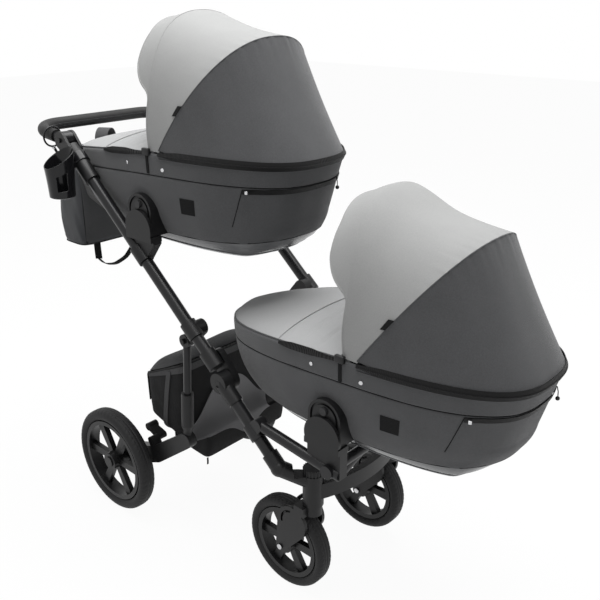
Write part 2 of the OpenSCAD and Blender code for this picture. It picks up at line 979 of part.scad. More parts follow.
// D-shaped side fittings that stand on the frame's adaptors
module d_shape(grow) {
    r = bracket_w / 2 + grow;
    translate([adaptor_x, bracket_z + bracket_h - bracket_w / 2])
        circle(r);
    translate([adaptor_x - r, bracket_z])
        square([2 * r, bracket_h - bracket_w / 2]);
}

module cot_brackets() {
    outer = half_w + bracket_out;
    color("#141416")
        left_right()
            difference() {
                side_plate(half_w - bracket_w / 2, outer)
                    d_shape(0);
                side_plate(outer - bracket_recess, outer + cut)
                    difference() {
                        d_shape(-bracket_band);
                        d_shape(-2 * bracket_band);
                    }
                cross_pin([adaptor_x, release_z], outer - release_pocket, outer + cut, release_r + run_gap);
                cot_solid();
            }
}

module release_button() {
    outer = half_w + bracket_out;
    color("#2c2c2f")
        cross_pin([adaptor_x, release_z], outer + release_proud - release_t, outer + release_proud, release_r);
}

// Half-round plate that stands in front of a bracket, on the adaptor below it
module adaptor_plate(x, top) {
    outer = half_w + bracket_out;
    side_plate(outer + run_gap, outer + plate_out)
        intersection() {
            translate([x, top + plate_lift])
                circle(plate_r);
            translate([x - plate_r, top - run_gap])
                square([2 * plate_r, plate_lift + plate_r + run_gap]);
        }
    side_plate(outer - adaptor_t, outer + plate_out)
        translate([x - plate_r, top - shelf_h])
            square([2 * plate_r, shelf_h]);
}

module upper_adaptors() {
    x = upper_cot_x + adaptor_x;
    top = upper_cot_z + bracket_z - 2 * seat_gap;
    outer = half_w + bracket_out;
    lower_edge = on_upper(adaptor_at + adaptor_collar_l / 2);
    upper_edge = on_upper(adaptor_at - adaptor_collar_l / 2);
    color("#141416")
        left_right()
            difference() {
                union() {
                    side_plate(outer - adaptor_t, outer)
                        polygon([upper_edge, lower_edge, [x + adaptor_half, top - collar_r],
                            [x + adaptor_half, top], [x - adaptor_half, top]]);
                    adaptor_plate(x, top);
                    tube_run(upper_edge, lower_edge, tube_y, collar_r);
                }
                tube_run(on_upper(tube_start), on_upper(upper_tube_l), tube_y, tube_r + seat_gap);
            }
}

module lower_adaptors() {
    x = upper_cot_x + cot_step_x + adaptor_x;
    top = upper_cot_z - cot_step_z + bracket_z - 2 * seat_gap;
    outer = half_w + bracket_out;
    seat = rail_start + rail_dir * (x - rail_start[0]) / rail_dir[0] - [0, adaptor_sink];
    color("#141416")
        left_right()
            difference() {
                union() {
                    side_plate(outer - adaptor_t, outer)
                        polygon([seat - rail_dir * adaptor_half, seat + rail_dir * adaptor_half,
                            [x + adaptor_half, top], [x - adaptor_half, top]]);
                    adaptor_plate(x, top);
                }
                tube_run(rail_start, rail_end, tube_y, rail_r + seat_gap);
                cross_pin(rail_cross, 0, 2 * tube_y, rail_boss_r + seat_gap);
            }
}

// Hoods: cloth drawn straight between the rim, the two bows and the brim
function arch(phi, r, t, inset) = let (
        y = (hood_half_w - inset) * sign(cos(t)) * pow(abs(cos(t)), 2 / hood_power),
        q = (r - inset) * pow(sin(t), 2 / hood_power))
    [hood_pivot_x + q * cos(phi), y, hood_pivot_z + q * sin(phi)];
function rim_arch(t, inset) = let (
        y = (hood_half_w - inset) * sign(cos(t)) * pow(abs(cos(t)), 2 / hood_power),
        share = pow(1 - pow(abs(y) / half_w, head_power), 1 / head_power),
        x = max(hood_pivot_x, (half_l - hood_head_inset - inset) * share))
    [x, y, rim_z(x) + run_gap];
function mid_arch(t, inset) = arch(hood_seam_angle, hood_mid_r, t, inset);
function front_arch(t, inset) = arch(hood_front_angle, hood_front_r, t, inset);
function brim_arch(t, inset) = let (reach = pow(min(1, sin(t) / brim_full_share), 2))
    arch(hood_front_angle + brim_angle * reach, hood_front_r + brim_flare * reach, t, inset);
function hood_angle(i) = hood_start_angle + (half_turn - 2 * hood_start_angle) * i / hood_points;
function hood_line(kind, t, inset) = kind == 0 ? rim_arch(t, inset)
    : kind == 1 ? mid_arch(t, inset) : kind == 2 ? front_arch(t, inset) : brim_arch(t, inset);
function hood_ring(kind, share) = let (
        skin = [for (inset = [0, hood_wall]) [for (i = [0 : hood_points]) let (t = hood_angle(i))
            (1 - share) * hood_line(kind, t, inset) + share * hood_line(kind + 1, t, inset)]])
    concat(back_to_front(skin[0]), skin[1]);

module hood_rear() {
    color("#4b4e52")
        loft([for (j = [0 : hood_steps]) hood_ring(0, (1 - seam_share) * j / hood_steps)], sheet = true);
}

module hood_front_panel() {
    color("#b4b7ba")
        loft(concat(
            [for (j = [0 : hood_steps]) hood_ring(1, seam_share + (1 - seam_share) * j / hood_steps)],
            [for (j = [1 : brim_steps]) hood_ring(2, j / brim_steps)]), sheet = true);
}

// A bow of round wire along one arch, with a flat eye round the pivot pin at each end
module hood_bow(phi, r, inset_y) {
    square_to = [-sin(phi), 0, cos(phi)];
    bow_start_angle = 2 * hood_start_angle;
    bow_turn = half_turn - 2 * bow_start_angle;
    path = [for (i = [0 : bow_points])
        let (p = arch(phi, r, bow_start_angle + bow_turn * i / bow_points, bow_inset))
        [p[0], p[1] * (hood_half_w - inset_y) / (hood_half_w - bow_inset), p[2]]];
    eye_y = hood_half_w - inset_y;
    color("#1d1d1f")
        difference() {
            union() {
                loft([for (i = [0 : bow_points])
                    let (a = path[max(i - 1, 0)], b = path[min(i + 1, bow_points)],
                        run = (b - a) / norm(b - a), side = cross(run, square_to))
                    [for (k = [0 : bow_sides - 1]) let (turn = k * 360 / bow_sides)
                        path[i] + bow_r * (cos(turn) * square_to + sin(turn) * side)]]);
                left_right() {
                    rod([hood_pivot_x, eye_y, hood_pivot_z], path[0] + [0, eye_y - path[0][1], 0], bow_r);
                    cross_pin(
                        [hood_pivot_x, hood_pivot_z], eye_y - pivot_disc_t / 2,
                        eye_y + pivot_disc_t / 2, pivot_disc_r);
                }
            }
            cross_pin([hood_pivot_x, hood_pivot_z], -half_w, half_w, pivot_pin_r + run_gap);
        }
}

module mid_bow() {
    hood_bow(hood_seam_angle, hood_mid_r, bow_inset);
}

module front_bow() {
    hood_bow(hood_front_angle, hood_front_r, bow_inset + bow_step);
}

// Lug on the tub's inner wall with the pin that both bows turn on
module hood_pivots() {
    outer = half_w - cot_wall - pivot_lug_inset;
    inner = hood_half_w - bow_inset - bow_step - pivot_disc_t;
    color("#1d1d1f")
        left_right() {
            translate([hood_pivot_x - pivot_lug_w / 2, outer - pivot_lug_t, hood_pivot_z - pivot_lug_w])
                cube([pivot_lug_w, pivot_lug_t, pivot_lug_w + pivot_disc_r]);
            cross_pin([hood_pivot_x, hood_pivot_z], inner, outer, pivot_pin_r);
        }
}

// Basket: a wedge-shaped rear compartment, an open front tray, and two straps round the crossbar
module basket() {
    inside = basket_y - basket_wall;
    wall = [basket_wall, 0];
    lift = [0, basket_wall];
    color("#1a1a1c") {
        difference() {
            side_plate(-basket_y, basket_y)
                polygon([
                    basket_heel, basket_belly, basket_toe, tray_lip, tray_rear, basket_ridge, basket_rear]);
            side_plate(-inside, inside)
                polygon([
                    basket_heel + wall + lift,
                    basket_belly + lift,
                    basket_ridge - wall,
                    basket_ridge - wall + 2 * lift,
                    basket_rear + wall + 2 * lift]);
            side_plate(-inside, inside)
                polygon([
                    [tray_rear[0], tray_floor],
                    [basket_toe[0] - basket_wall, tray_floor],
                    tray_lip - wall,
                    tray_lip - wall + lift,
                    tray_rear + lift]);
        }
        left_right()
            difference() {
                union() {
                    cross_pin(arm_mid, strap_y - strap_w / 2, strap_y + strap_w / 2, crossbar_r + strap_t);
                    translate([arm_mid[0] - strap_t / 2, strap_y - strap_w / 2, arm_mid[1]])
                        cube([strap_t, strap_w, basket_belly[1] + 4 * basket_wall - arm_mid[1]]);
                }
                cross_pin(arm_mid, 0, basket_w, crossbar_r + seat_gap);
            }
    }
}

// Crowned lid that lies along the compartment's sloping top and turns on its front edge
module lid_segment(r) {
    translate(basket_rear)
        rotate(lid_slope)
            translate([0, lid_lift])
                intersection() {
                    translate([-lid_crown, 0])
                        square([lid_span + 2 * lid_crown, 2 * lid_crown]);
                    translate([lid_span / 2, lid_crown - lid_arc_r])
                        circle(r, $fn = 160);
                }
}

module basket_lid() {
    inside = basket_y - lid_t;
    color("#242427")
        difference() {
            side_plate(-basket_y, basket_y)
                lid_segment(lid_arc_r);
            side_plate(-inside, inside)
                translate([0, -cut])
                    lid_segment(lid_arc_r - lid_t);
        }
}

// Bag that hangs on two hooks from the handle's arms
function swell_y(swell) = (1 + swell) / 2;
function bag_ring(h, swell) = [for (i = [0 : bag_points - 1])
    let (t = i * 360 / bag_points)
    [bag_x + swell * bag_depth / 2 * sign(cos(t)) * pow(abs(cos(t)), 2 / bag_power),
        swell_y(swell) * bag_w / 2 * sign(sin(t)) * pow(abs(sin(t)), 2 / bag_power),
        bag_top - bag_h * (1 - h)]];

module changing_bag() {
    color("#4a4c50") {
        loft([for (i = [0 : len(bag_shares) - 1]) bag_ring(bag_shares[i], bag_swell_shares[i])]);
        left_right() {
            translate([hook[0], tube_y, hook_z])
                rotate([0, 90, 0])
                    rotate_extrude()
                        translate([hook_r, 0])
                            circle(hook_wire_r, $fn = 16);
            rod([hook[0], tube_y, hook_z - hook_r],
                [bag_x, bag_w / 2 - bag_corner_inset, bag_top - bag_corner_inset], bag_strap_r);
        }
    }
}

module upper_base() place_upper() cot_base();
module upper_tub() place_upper() cot_tub();
module upper_mattress() place_upper() cot_mattress();
module upper_apron() place_upper() cot_apron();
module upper_brackets() place_upper() cot_brackets();
module upper_hood_pivots() place_upper() hood_pivots();
module upper_hood_rear() place_upper() hood_rear();
module upper_hood_front() place_upper() hood_front_panel();
module upper_mid_bow() place_upper() mid_bow();
module upper_front_bow() place_upper() front_bow();
module lower_base() place_lower() cot_base();
module lower_tub() place_lower() cot_tub();
module lower_mattress() place_lower() cot_mattress();
module lower_apron() place_lower() cot_apron();
module lower_brackets() place_lower() cot_brackets();
module lower_hood_pivots() place_lower() hood_pivots();
module lower_hood_rear() place_lower() hood_rear();
module lower_hood_front() place_lower() hood_front_panel();
module lower_mid_bow() place_lower() mid_bow();
module lower_front_bow() place_lower() front_bow();

main_tubes();
handle_sockets();
fold_knuckles();
leg_brackets();
leg_rods();
upper_adaptors();
cup_holder();
leg_sleeves();
swing_arms();
rear_crossbar();
rear_axles();
basket();
basket_lid();
brake_pedal();
right_side() rear_tyre();  // rear_tyre_right
rear_tyre();  // rear_tyre_left
right_side() rear_rim();  // rear_rim_right
rear_rim();  // rear_rim_left
front_tubes();
fold_plates();
caster_housings();
front_beam();
seat_rails();
rail_support();
lower_adaptors();
right_side() swivel_knob();  // swivel_knob_right
swivel_knob();  // swivel_knob_left
right_side() caster_fork();  // caster_fork_right
caster_fork();  // caster_fork_left
right_side() front_tyre();  // front_tyre_right
front_tyre();  // front_tyre_left
right_side() front_rim();  // front_rim_right
front_rim();  // front_rim_left
handle_tube();
handle_grip();
changing_bag();
upper_base();
upper_tub();
upper_mattress();
upper_apron();
upper_brackets();
upper_hood_pivots();
upper_hood_rear();
upper_hood_front();
upper_mid_bow();
upper_front_bow();
lower_base();
lower_tub();
lower_mattress();
lower_apron();
lower_brackets();
lower_hood_pivots();
lower_hood_rear();
lower_hood_front();
lower_mid_bow();
lower_front_bow();
right_side() place_upper() release_button();  // upper_release_right
place_upper() release_button();  // upper_release_left
right_side() place_lower() release_button();  // lower_release_right
place_lower() release_button();  // lower_release_left
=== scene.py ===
import math
import bpy
import numpy as np
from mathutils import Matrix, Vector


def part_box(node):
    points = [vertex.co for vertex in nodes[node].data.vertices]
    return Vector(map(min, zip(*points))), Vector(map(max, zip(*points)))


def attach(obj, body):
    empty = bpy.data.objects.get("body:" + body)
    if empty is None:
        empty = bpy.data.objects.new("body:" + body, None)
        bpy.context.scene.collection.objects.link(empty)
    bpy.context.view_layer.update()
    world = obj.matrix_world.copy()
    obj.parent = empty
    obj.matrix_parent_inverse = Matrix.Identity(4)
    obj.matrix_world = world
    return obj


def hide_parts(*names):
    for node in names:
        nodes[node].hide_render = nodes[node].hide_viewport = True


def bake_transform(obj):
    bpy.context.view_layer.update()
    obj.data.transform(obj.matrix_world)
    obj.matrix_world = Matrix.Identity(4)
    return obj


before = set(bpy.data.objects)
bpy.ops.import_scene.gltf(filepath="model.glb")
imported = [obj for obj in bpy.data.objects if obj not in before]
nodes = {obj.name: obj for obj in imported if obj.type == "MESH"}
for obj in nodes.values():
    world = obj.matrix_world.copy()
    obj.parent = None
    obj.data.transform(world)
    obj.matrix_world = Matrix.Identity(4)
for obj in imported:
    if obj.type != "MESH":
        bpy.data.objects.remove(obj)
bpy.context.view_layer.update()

hands = (("Right", -1), ("Left", 1))

# camera, at the photograph's viewing angle
cameraSetup = {"place": (1.6524, -1.3258, 1.3839), "tilt": 68.48, "turn": 41.53, "lens": 46.82, "sensor": 36,
               "reach": 50}


def clearSelection():
    if bpy.context.mode != "OBJECT":
        bpy.ops.object.mode_set(mode="OBJECT")
    bpy.ops.object.select_all(action="DESELECT")


def pick(obj):
    clearSelection()
    obj.select_set(True)
    bpy.context.view_layer.objects.active = obj


clearSelection()
bpy.ops.object.camera_add(
    location=cameraSetup["place"],
    rotation=(math.radians(cameraSetup["tilt"]), 0, math.radians(cameraSetup["turn"])))
camera = bpy.context.active_object
camera.data.lens = cameraSetup["lens"]
camera.data.sensor_width = cameraSetup["sensor"]
camera.data.clip_end = cameraSetup["reach"]
bpy.context.scene.camera = camera
bpy.context.scene.view_settings.view_transform = "Standard"
print("camera is in place")

# materials
# tone, fleck, thread in metres, bump, sheen
cloths = {
    "darkCloth": ((0.078, 0.079, 0.082), 0.22, 0.0011, 0.35, 0.25),
    "lightCloth": ((0.300, 0.302, 0.300), 0.08, 0.0010, 0.3, 0.15),
    "apronCloth": ((0.365, 0.368, 0.370), 0.08, 0.0010, 0.3, 0.12),
    "liningCloth": ((0.62, 0.62, 0.61), 0.05, 0.0009, 0.25, 0.15),
    "basketCloth": ((0.009, 0.009, 0.0095), 0.3, 0.0014, 0.5, 0.08),
    "bagCloth": ((0.062, 0.064, 0.068), 0.22, 0.0012, 0.4, 0.2),
    "lidMesh": ((0.066, 0.067, 0.069), 0.3, 0.0016, 0.6, 0.1),
    "greyWeb": ((0.070, 0.070, 0.072), 0.3, 0.0022, 0.7, 0.05),
    "bagPale": ((0.19, 0.19, 0.19), 0.3, 0.0012, 0.5, 0.1),
    "webbing": ((0.0045, 0.0045, 0.0048), 0.3, 0.0022, 0.7, 0.02),
    "greyFloor": ((0.20, 0.20, 0.205), 0.1, 0.0014, 0.4, 0.1),
}
# tone, roughness, grain, bump, metal
moulded = {
    "tubeBlack": ((0.0105, 0.0105, 0.0115), 0.30, 900, 0.03, 0.0),
    "rodBlack": ((0.018, 0.018, 0.019), 0.3, 700, 0.02, 0.3),
    "plasticBlack": ((0.0085, 0.0085, 0.009), 0.40, 1400, 0.12, 0.0),
    "bracketBlack": ((0.006, 0.006, 0.0065), 0.42, 1400, 0.10, 0.0),
    "buttonGrey": ((0.022, 0.022, 0.023), 0.5, 1200, 0.08, 0.0),
    "glossBlack": ((0.008, 0.008, 0.009), 0.12, 300, 0.01, 0.0),
    "rimBlack": ((0.008, 0.008, 0.0085), 0.4, 1300, 0.10, 0.0),
    "trayGrey": ((0.13, 0.132, 0.136), 0.22, 1100, 0.05, 0.0),
    # band round the tray's foot: silver-grey, lightened as a painted highlight of the tray's bottom edge
    "baseSilverHighlight": ((0.30, 0.305, 0.315), 0.28, 1100, 0.10, 0.0),
    "steel": ((0.6, 0.6, 0.61), 0.25, 500, 0.02, 1.0),
    "tyreRubber": ((0.0115, 0.0115, 0.012), 0.62, 800, 0.2, 0.0),
}
gripTone = (0.014, 0.014, 0.014)
zipTone = (0.0032, 0.0032, 0.0035)
zipTooth = 0.003
# length of one band of a wave texture at scale 1
bandLength = 0.314


def startMaterial(name):
    material = bpy.data.materials.new(name)
    material.use_nodes = True
    tree = material.node_tree
    return material, tree, tree.nodes["Principled BSDF"]


def addNode(tree, kind, **values):
    node = tree.nodes.new(kind)
    for key, value in values.items():
        if key in node.inputs:
            node.inputs[key].default_value = value
        else:
            setattr(node, key, value)
    return node


def setInputs(node, values):
    for key, value in values.items():
        node.inputs[key].default_value = value


def texture(tree, kind, source, output="Fac", **values):
    # a texture on the piece's own points or map
    node = addNode(tree, kind, **values)
    place = addNode(tree, "ShaderNodeTexCoord")
    tree.links.new(place.outputs[source], node.inputs["Vector"])
    return node.outputs[output]


def reckon(tree, operation, *terms):
    # a math node whose terms are numbers or sockets
    node = addNode(tree, "ShaderNodeMath", operation=operation)
    for socket, term in zip(node.inputs, terms):
        if isinstance(term, float):
            socket.default_value = term
        else:
            tree.links.new(term, socket)
    return node.outputs[0]


def toneRamp(tree, shader, factor, tone, spread):
    ramp = addNode(tree, "ShaderNodeValToRGB")
    for element, position, change in zip(ramp.color_ramp.elements, (0.3, 0.7), (-spread, spread)):
        element.color = [min(c * (1 + change), 1) for c in tone] + [1]
        element.position = position
    tree.links.new(factor, ramp.inputs["Fac"])
    tree.links.new(ramp.outputs["Color"], shader.inputs["Base Color"])


def relief(tree, shader, height, strength, distance):
    bump = addNode(tree, "ShaderNodeBump", Strength=strength, Distance=distance)
    tree.links.new(height, bump.inputs["Height"])
    tree.links.new(bump.outputs["Normal"], shader.inputs["Normal"])


def clothMaterial(name, tone, fleck, thread, bump, sheen):
    material, tree, shader = startMaterial(name)
    melange = texture(tree, "ShaderNodeTexNoise", "Object", Scale=420, Detail=6, Roughness=0.7)
    patches = texture(tree, "ShaderNodeTexNoise", "Object", Scale=14, Detail=3, Roughness=0.5)
    mixed = reckon(tree, "MULTIPLY_ADD", patches, 0.25, reckon(tree, "MULTIPLY", melange, 0.75))
    toneRamp(tree, shader, mixed, tone, fleck)
    # weave on the piece's own map, which is in metres
    warp, weft = (texture(tree, "ShaderNodeTexWave", "UV", bands_direction=way, Scale=bandLength / thread,
                          Distortion=0.6) for way in "XY")
    weave = reckon(tree, "MULTIPLY", warp, weft)
    relief(tree, shader, reckon(tree, "ADD", weave, melange), bump, 0.0006)
    setInputs(shader, {"Roughness": 0.86, "Specular IOR Level": 0.2, "Sheen Weight": sheen,
                       "Sheen Roughness": 0.45})
    return material


def mouldedMaterial(name, tone, rough, grain, bump, metal):
    material, tree, shader = startMaterial(name)
    fine, broad = (texture(tree, "ShaderNodeTexNoise", "Object", Scale=scale, Detail=4, Roughness=0.6)
                   for scale in (grain, 18))
    toneRamp(tree, shader, broad, tone, 0.16)
    wear = addNode(tree, "ShaderNodeMapRange")
    setInputs(wear, {"To Min": rough - 0.06, "To Max": rough + 0.08})
    tree.links.new(broad, wear.inputs["Value"])
    tree.links.new(wear.outputs["Result"], shader.inputs["Roughness"])
    relief(tree, shader, fine, bump, 0.0005)
    setInputs(shader, {"Metallic": metal, "Specular IOR Level": 0.3})
    return material


def leatherMaterial(name, tone):
    material, tree, shader = startMaterial(name)
    cells = texture(tree, "ShaderNodeTexVoronoi", "Object", "Distance", Scale=520)
    broad = texture(tree, "ShaderNodeTexNoise", "Object", Scale=40, Detail=4, Roughness=0.6)
    toneRamp(tree, shader, broad, tone, 0.25)
    relief(tree, shader, cells, 0.35, 0.0006)
    setInputs(shader, {"Roughness": 0.55, "Specular IOR Level": 0.25})
    return material


def zipMaterial(name, tone, tooth):
    material, tree, shader = startMaterial(name)
    teeth = texture(tree, "ShaderNodeTexWave", "UV", bands_direction="X", Scale=bandLength / tooth)
    toneRamp(tree, shader, teeth, tone, 0.5)
    relief(tree, shader, teeth, 0.8, 0.001)
    setInputs(shader, {"Roughness": 0.42, "Specular IOR Level": 0.2})
    return material


finish = {name: clothMaterial(name, *values) for name, values in cloths.items()}
finish.update({name: mouldedMaterial(name, *values) for name, values in moulded.items()})
finish["gripLeather"] = leatherMaterial("gripLeather", gripTone)
finish["zipTape"] = zipMaterial("zipTape", zipTone, zipTooth)
print("materials are mixed:", len(finish))


def pairs(*names):
    return [name + end for name in names for end in ("_right", "_left")]


# every CAD node that stays in view takes its finish here
nodeFinish = {
    "tubeBlack": ["main_tubes", "front_tubes", "rear_crossbar", "seat_rails", "rail_support", "handle_tube"],
    "plasticBlack": ["handle_sockets", "fold_knuckles", "leg_brackets", "leg_sleeves", "swing_arms",
                     "brake_pedal", "fold_plates", "caster_housings", "front_beam", "rear_axles"]
    + pairs("swivel_knob", "caster_fork"),
    "bracketBlack": ["upper_adaptors", "lower_adaptors", "upper_brackets", "lower_brackets"],
    "buttonGrey": pairs("upper_release", "lower_release"),
    "rodBlack": ["leg_rods", "upper_hood_pivots", "lower_hood_pivots", "upper_mid_bow", "upper_front_bow",
                 "lower_mid_bow", "lower_front_bow"],
    "glossBlack": ["cup_holder"],
    "rimBlack": pairs("rear_rim", "front_rim"),
    "tyreRubber": pairs("rear_tyre", "front_tyre"),
    "gripLeather": ["handle_grip"],
}
for name, members in nodeFinish.items():
    for member in members:
        nodes[member].data.materials.clear()
        nodes[member].data.materials.append(finish[name])


# ways of making pieces
def unit(ways):
    return ways / np.linalg.norm(ways, axis=-1, keepdims=True)


def bent(value, power):
    # a cosine or sine bent towards a squarer ring
    return np.sign(value) * np.abs(value) ** (2 / power)


def arcAt(share, power):
    # height of a round arc at a share of its half width
    return (1 - np.abs(share) ** power) ** (1 / power)


def columns(*values):
    return np.stack(values, -1)


def sweep(start, end, count):
    return np.radians(np.linspace(start, end, count))


def readPoints(obj):
    flat = np.empty(len(obj.data.vertices) * 3)
    obj.data.vertices.foreach_get("co", flat)
    return flat.reshape(-1, 3)


def writePoints(obj, points):
    obj.data.vertices.foreach_set("co", np.asarray(points, float).ravel())
    obj.data.update()


def settle(obj, place):
    writePoints(obj, readPoints(obj) + np.asarray(place, float))
    return obj


def named(name):
    # the piece just added, under its name
    obj = bpy.context.active_object
    obj.name = obj.data.name = name
    return obj


def turnOutward(joined=False):
    bpy.ops.object.mode_set(mode="EDIT")
    bpy.ops.mesh.select_all(action="SELECT")
    if joined:
        bpy.ops.mesh.remove_doubles(threshold=0.00002)
    bpy.ops.mesh.normals_make_consistent(inside=False)
    bpy.ops.object.mode_set(mode="OBJECT")


def smooth(obj, angle):
    pick(obj)
    bpy.ops.object.shade_smooth_by_angle(angle=math.radians(angle))
    return obj


def clothGrid(name, across, along, shape, size, joined=False):
    # a flat grid whose points are moved on to the form; size gives its map in metres
    clearSelection()
    bpy.ops.mesh.primitive_grid_add(x_subdivisions=across, y_subdivisions=along, size=2)
    obj = named(name)
    flat = readPoints(obj)
    writePoints(obj, shape((flat[:, 0] + 1) / 2, (flat[:, 1] + 1) / 2))
    for loop in obj.data.uv_layers.active.data:
        loop.uv = (loop.uv[0] * size[0], loop.uv[1] * size[1])
    turnOutward(joined)
    bpy.ops.object.shade_smooth()
    return obj


def applyModifier(obj, kind, **values):
    pick(obj)
    modifier = obj.modifiers.new(kind.lower(), kind)
    for key, value in values.items():
        setattr(modifier, key, value)
    bpy.ops.object.modifier_apply(modifier=modifier.name)


def thicken(obj, wall):
    applyModifier(obj, "SOLIDIFY", thickness=wall, offset=0.0, use_even_offset=False)
    pick(obj)
    turnOutward()
    return smooth(obj, 40)


def wire(name, points, radius, closed=False, sides=3):
    # piping, cord or stitching: a round section along a line of points
    clearSelection()
    curve = bpy.data.curves.new(name, "CURVE")
    curve.dimensions = "3D"
    curve.bevel_depth = radius
    curve.bevel_resolution = sides
    curve.use_fill_caps = True
    spline = curve.splines.new("POLY")
    spline.points.add(len(points) - 1)
    for target, point in zip(spline.points, points):
        target.co = (*point, 1)
    spline.use_cyclic_u = closed
    obj = bpy.data.objects.new(name, curve)
    bpy.context.collection.objects.link(obj)
    pick(obj)
    bpy.ops.object.convert(target="MESH")
    bpy.ops.object.shade_smooth()
    return bpy.context.active_object


def ribbon(name, points, side, width, wall):
    # flat webbing along a line; side is the direction of its width
    points, side = np.asarray(points, float), unit(np.asarray(side, float))
    steps = np.linspace(0, 1, len(points))
    length = np.linalg.norm(np.diff(points, axis=0), axis=1).sum()

    def shape(u, v):
        middle = columns(*(np.interp(u, steps, points[:, k]) for k in range(3)))
        return middle + side * ((v - 0.5) * width)[:, None]
    return thicken(clothGrid(name, len(points) - 1, 2, shape, (length, width)), wall)


def roundedBlock(name, size, place, turn=0, bevel=0.0015):
    # a block with rounded edges, turned about the upright
    clearSelection()
    bpy.ops.mesh.primitive_cube_add(size=1)
    obj = named(name)
    bpy.ops.transform.resize(value=size)
    if turn:
        bpy.ops.transform.rotate(value=math.radians(-turn), orient_axis="Z", center_override=(0, 0, 0))
    bpy.ops.object.transform_apply(location=True, rotation=True, scale=True)
    applyModifier(obj, "BEVEL", width=bevel, segments=3)
    return smooth(settle(obj, place), 50)


def disc(name, radius, height, place, axis, sides=28):
    # a short cylinder with rounded edges along an axis
    clearSelection()
    bpy.ops.mesh.primitive_cylinder_add(vertices=sides, radius=radius, depth=height)
    obj = named(name)
    applyModifier(obj, "BEVEL", width=min(radius, height) * 0.3, segments=3, limit_method="ANGLE")
    points = readPoints(obj)
    w = unit(np.asarray(axis, float))
    a = unit(np.cross(w, (0, 0, 1) if abs(w[2]) < 0.9 else (1, 0, 0)))
    b = np.cross(w, a)
    writePoints(obj, points[:, :1] * a + points[:, 1:2] * b + points[:, 2:] * w + np.asarray(place, float))
    return smooth(obj, 50)


def ball(name, radius, place):
    clearSelection()
    bpy.ops.mesh.primitive_uv_sphere_add(segments=24, ring_count=16, radius=radius)
    obj = settle(named(name), place)
    pick(obj)
    bpy.ops.object.shade_smooth()
    return obj


def dress(obj, material, body, slot, *replaced):
    obj.data.materials.clear()
    obj.data.materials.append(finish[material])
    if replaced:
        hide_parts(*replaced)
    if body:
        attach(obj, body)
    return obj


def runAlong(points):
    # length from the start to each point of a line
    return np.concatenate([[0], np.cumsum(np.linalg.norm(np.diff(points, axis=0), axis=1))])


def smoothLine(points, count):
    points = np.asarray(points, float)
    steps = runAlong(points)
    at = np.linspace(0, steps[-1], count)
    line = columns(*(np.interp(at, steps, points[:, k]) for k in range(3)))
    for _ in range(count // 8):
        line[1:-1] = (line[:-2] + 2 * line[1:-1] + line[2:]) / 4
    return line


def profile(rows, v):
    # the columns of a list of rows, read at shares v of its length
    at = v * (len(rows) - 1)
    return [np.interp(at, np.arange(len(rows)), column) for column in np.array(rows, float).T]


# carrycots: the same forms as the solids, drawn finer
# cornerFoot and headFoot: height and width of the tub's lower corner, and how full it is
cot = {"halfLength": 0.404, "halfWidth": 0.208, "baseHalfLength": 0.25, "baseHalfWidth": 0.11, "depth": 0.235,
       "rimSlope": 0.024, "rimDip": 0.0255, "headPower": 2.7, "footPower": 2.4, "sidePower": 2.2,
       "cornerFoot": (0.26, 0.675, 2.4), "headFoot": (0.42, 0.745, 1.7), "middleFrom": 0.77, "middleRun": 0.20,
       "headSpread": 1.25, "wall": 0.006, "seamHeight": 0.785, "tubLow": 0.165, "headRise": 0.07, "riseEnd": 0.7,
       "swell": 0.0016, "seamDeep": 0.0022, "seamHalf": 0.006, "ripple": 0.0005}
places = {"upper": np.array([0.143, 0, 0.8]), "lower": np.array([0.726, 0, 0.455])}


def footCurve(h, corner, width, power):
    # straight from the rim down to a corner, then round it to the base
    foot = width * arcAt(1 - np.minimum(h / corner, 1), power)
    return np.where(h < corner, foot, width + (1 - width) * (h - corner) / (1 - corner))


def fillAt(h, turn):
    # full along the sides and at the head's corners, leaning in at the head's middle
    h = np.clip(h, 0, 1)
    along = arcAt(1 - h, cot["sidePower"])
    middle = np.clip((np.cos(turn) - cot["middleFrom"]) / cot["middleRun"], 0, 1)
    head = footCurve(h, *cot["cornerFoot"]) * (1 - middle) + footCurve(h, *cot["headFoot"]) * middle
    share = np.clip(cot["headSpread"] * np.cos(turn), 0, 1) ** 3
    return along * (1 - share) + head * share


def tubFoot(turn):
    # the cloth's lower edge, a little higher at the head
    return cot["tubLow"] + cot["headRise"] * np.clip(np.cos(turn), 0, 1) ** 2


def rimHeight(x):
    share = x / cot["halfLength"]
    return cot["depth"] + cot["rimSlope"] * share - cot["rimDip"] * share ** 2


def cotPoint(h, turn, inset=0.0):
    # h runs from 0 at the base to 1 at the rim, turn from 0 at the head round the left side
    fill = fillAt(h, turn)
    a = cot["baseHalfLength"] + (cot["halfLength"] - cot["baseHalfLength"]) * fill - inset
    b = cot["baseHalfWidth"] + (cot["halfWidth"] - cot["baseHalfWidth"]) * fill - inset
    c, s = np.cos(turn), np.sin(turn)
    power = np.where(c >= 0, cot["headPower"], cot["footPower"])
    x, y = a * bent(c, power), b * bent(s, power)
    return columns(x, y, h * rimHeight(x * cot["halfLength"] / a))


def spotOn(h, turn, lift=0.0):
    # one point of the tub, or lifted off it, with the turn in degrees
    return cotPoint(np.array([h]), np.radians(np.array([turn])), -lift)[0]


def evenTurns(share):
    # turn angles that space points evenly round the rim
    turn = np.linspace(0, 2 * np.pi, 1441)
    run = runAlong(cotPoint(np.ones_like(turn), turn))
    return np.interp(share, run / run[-1], turn)


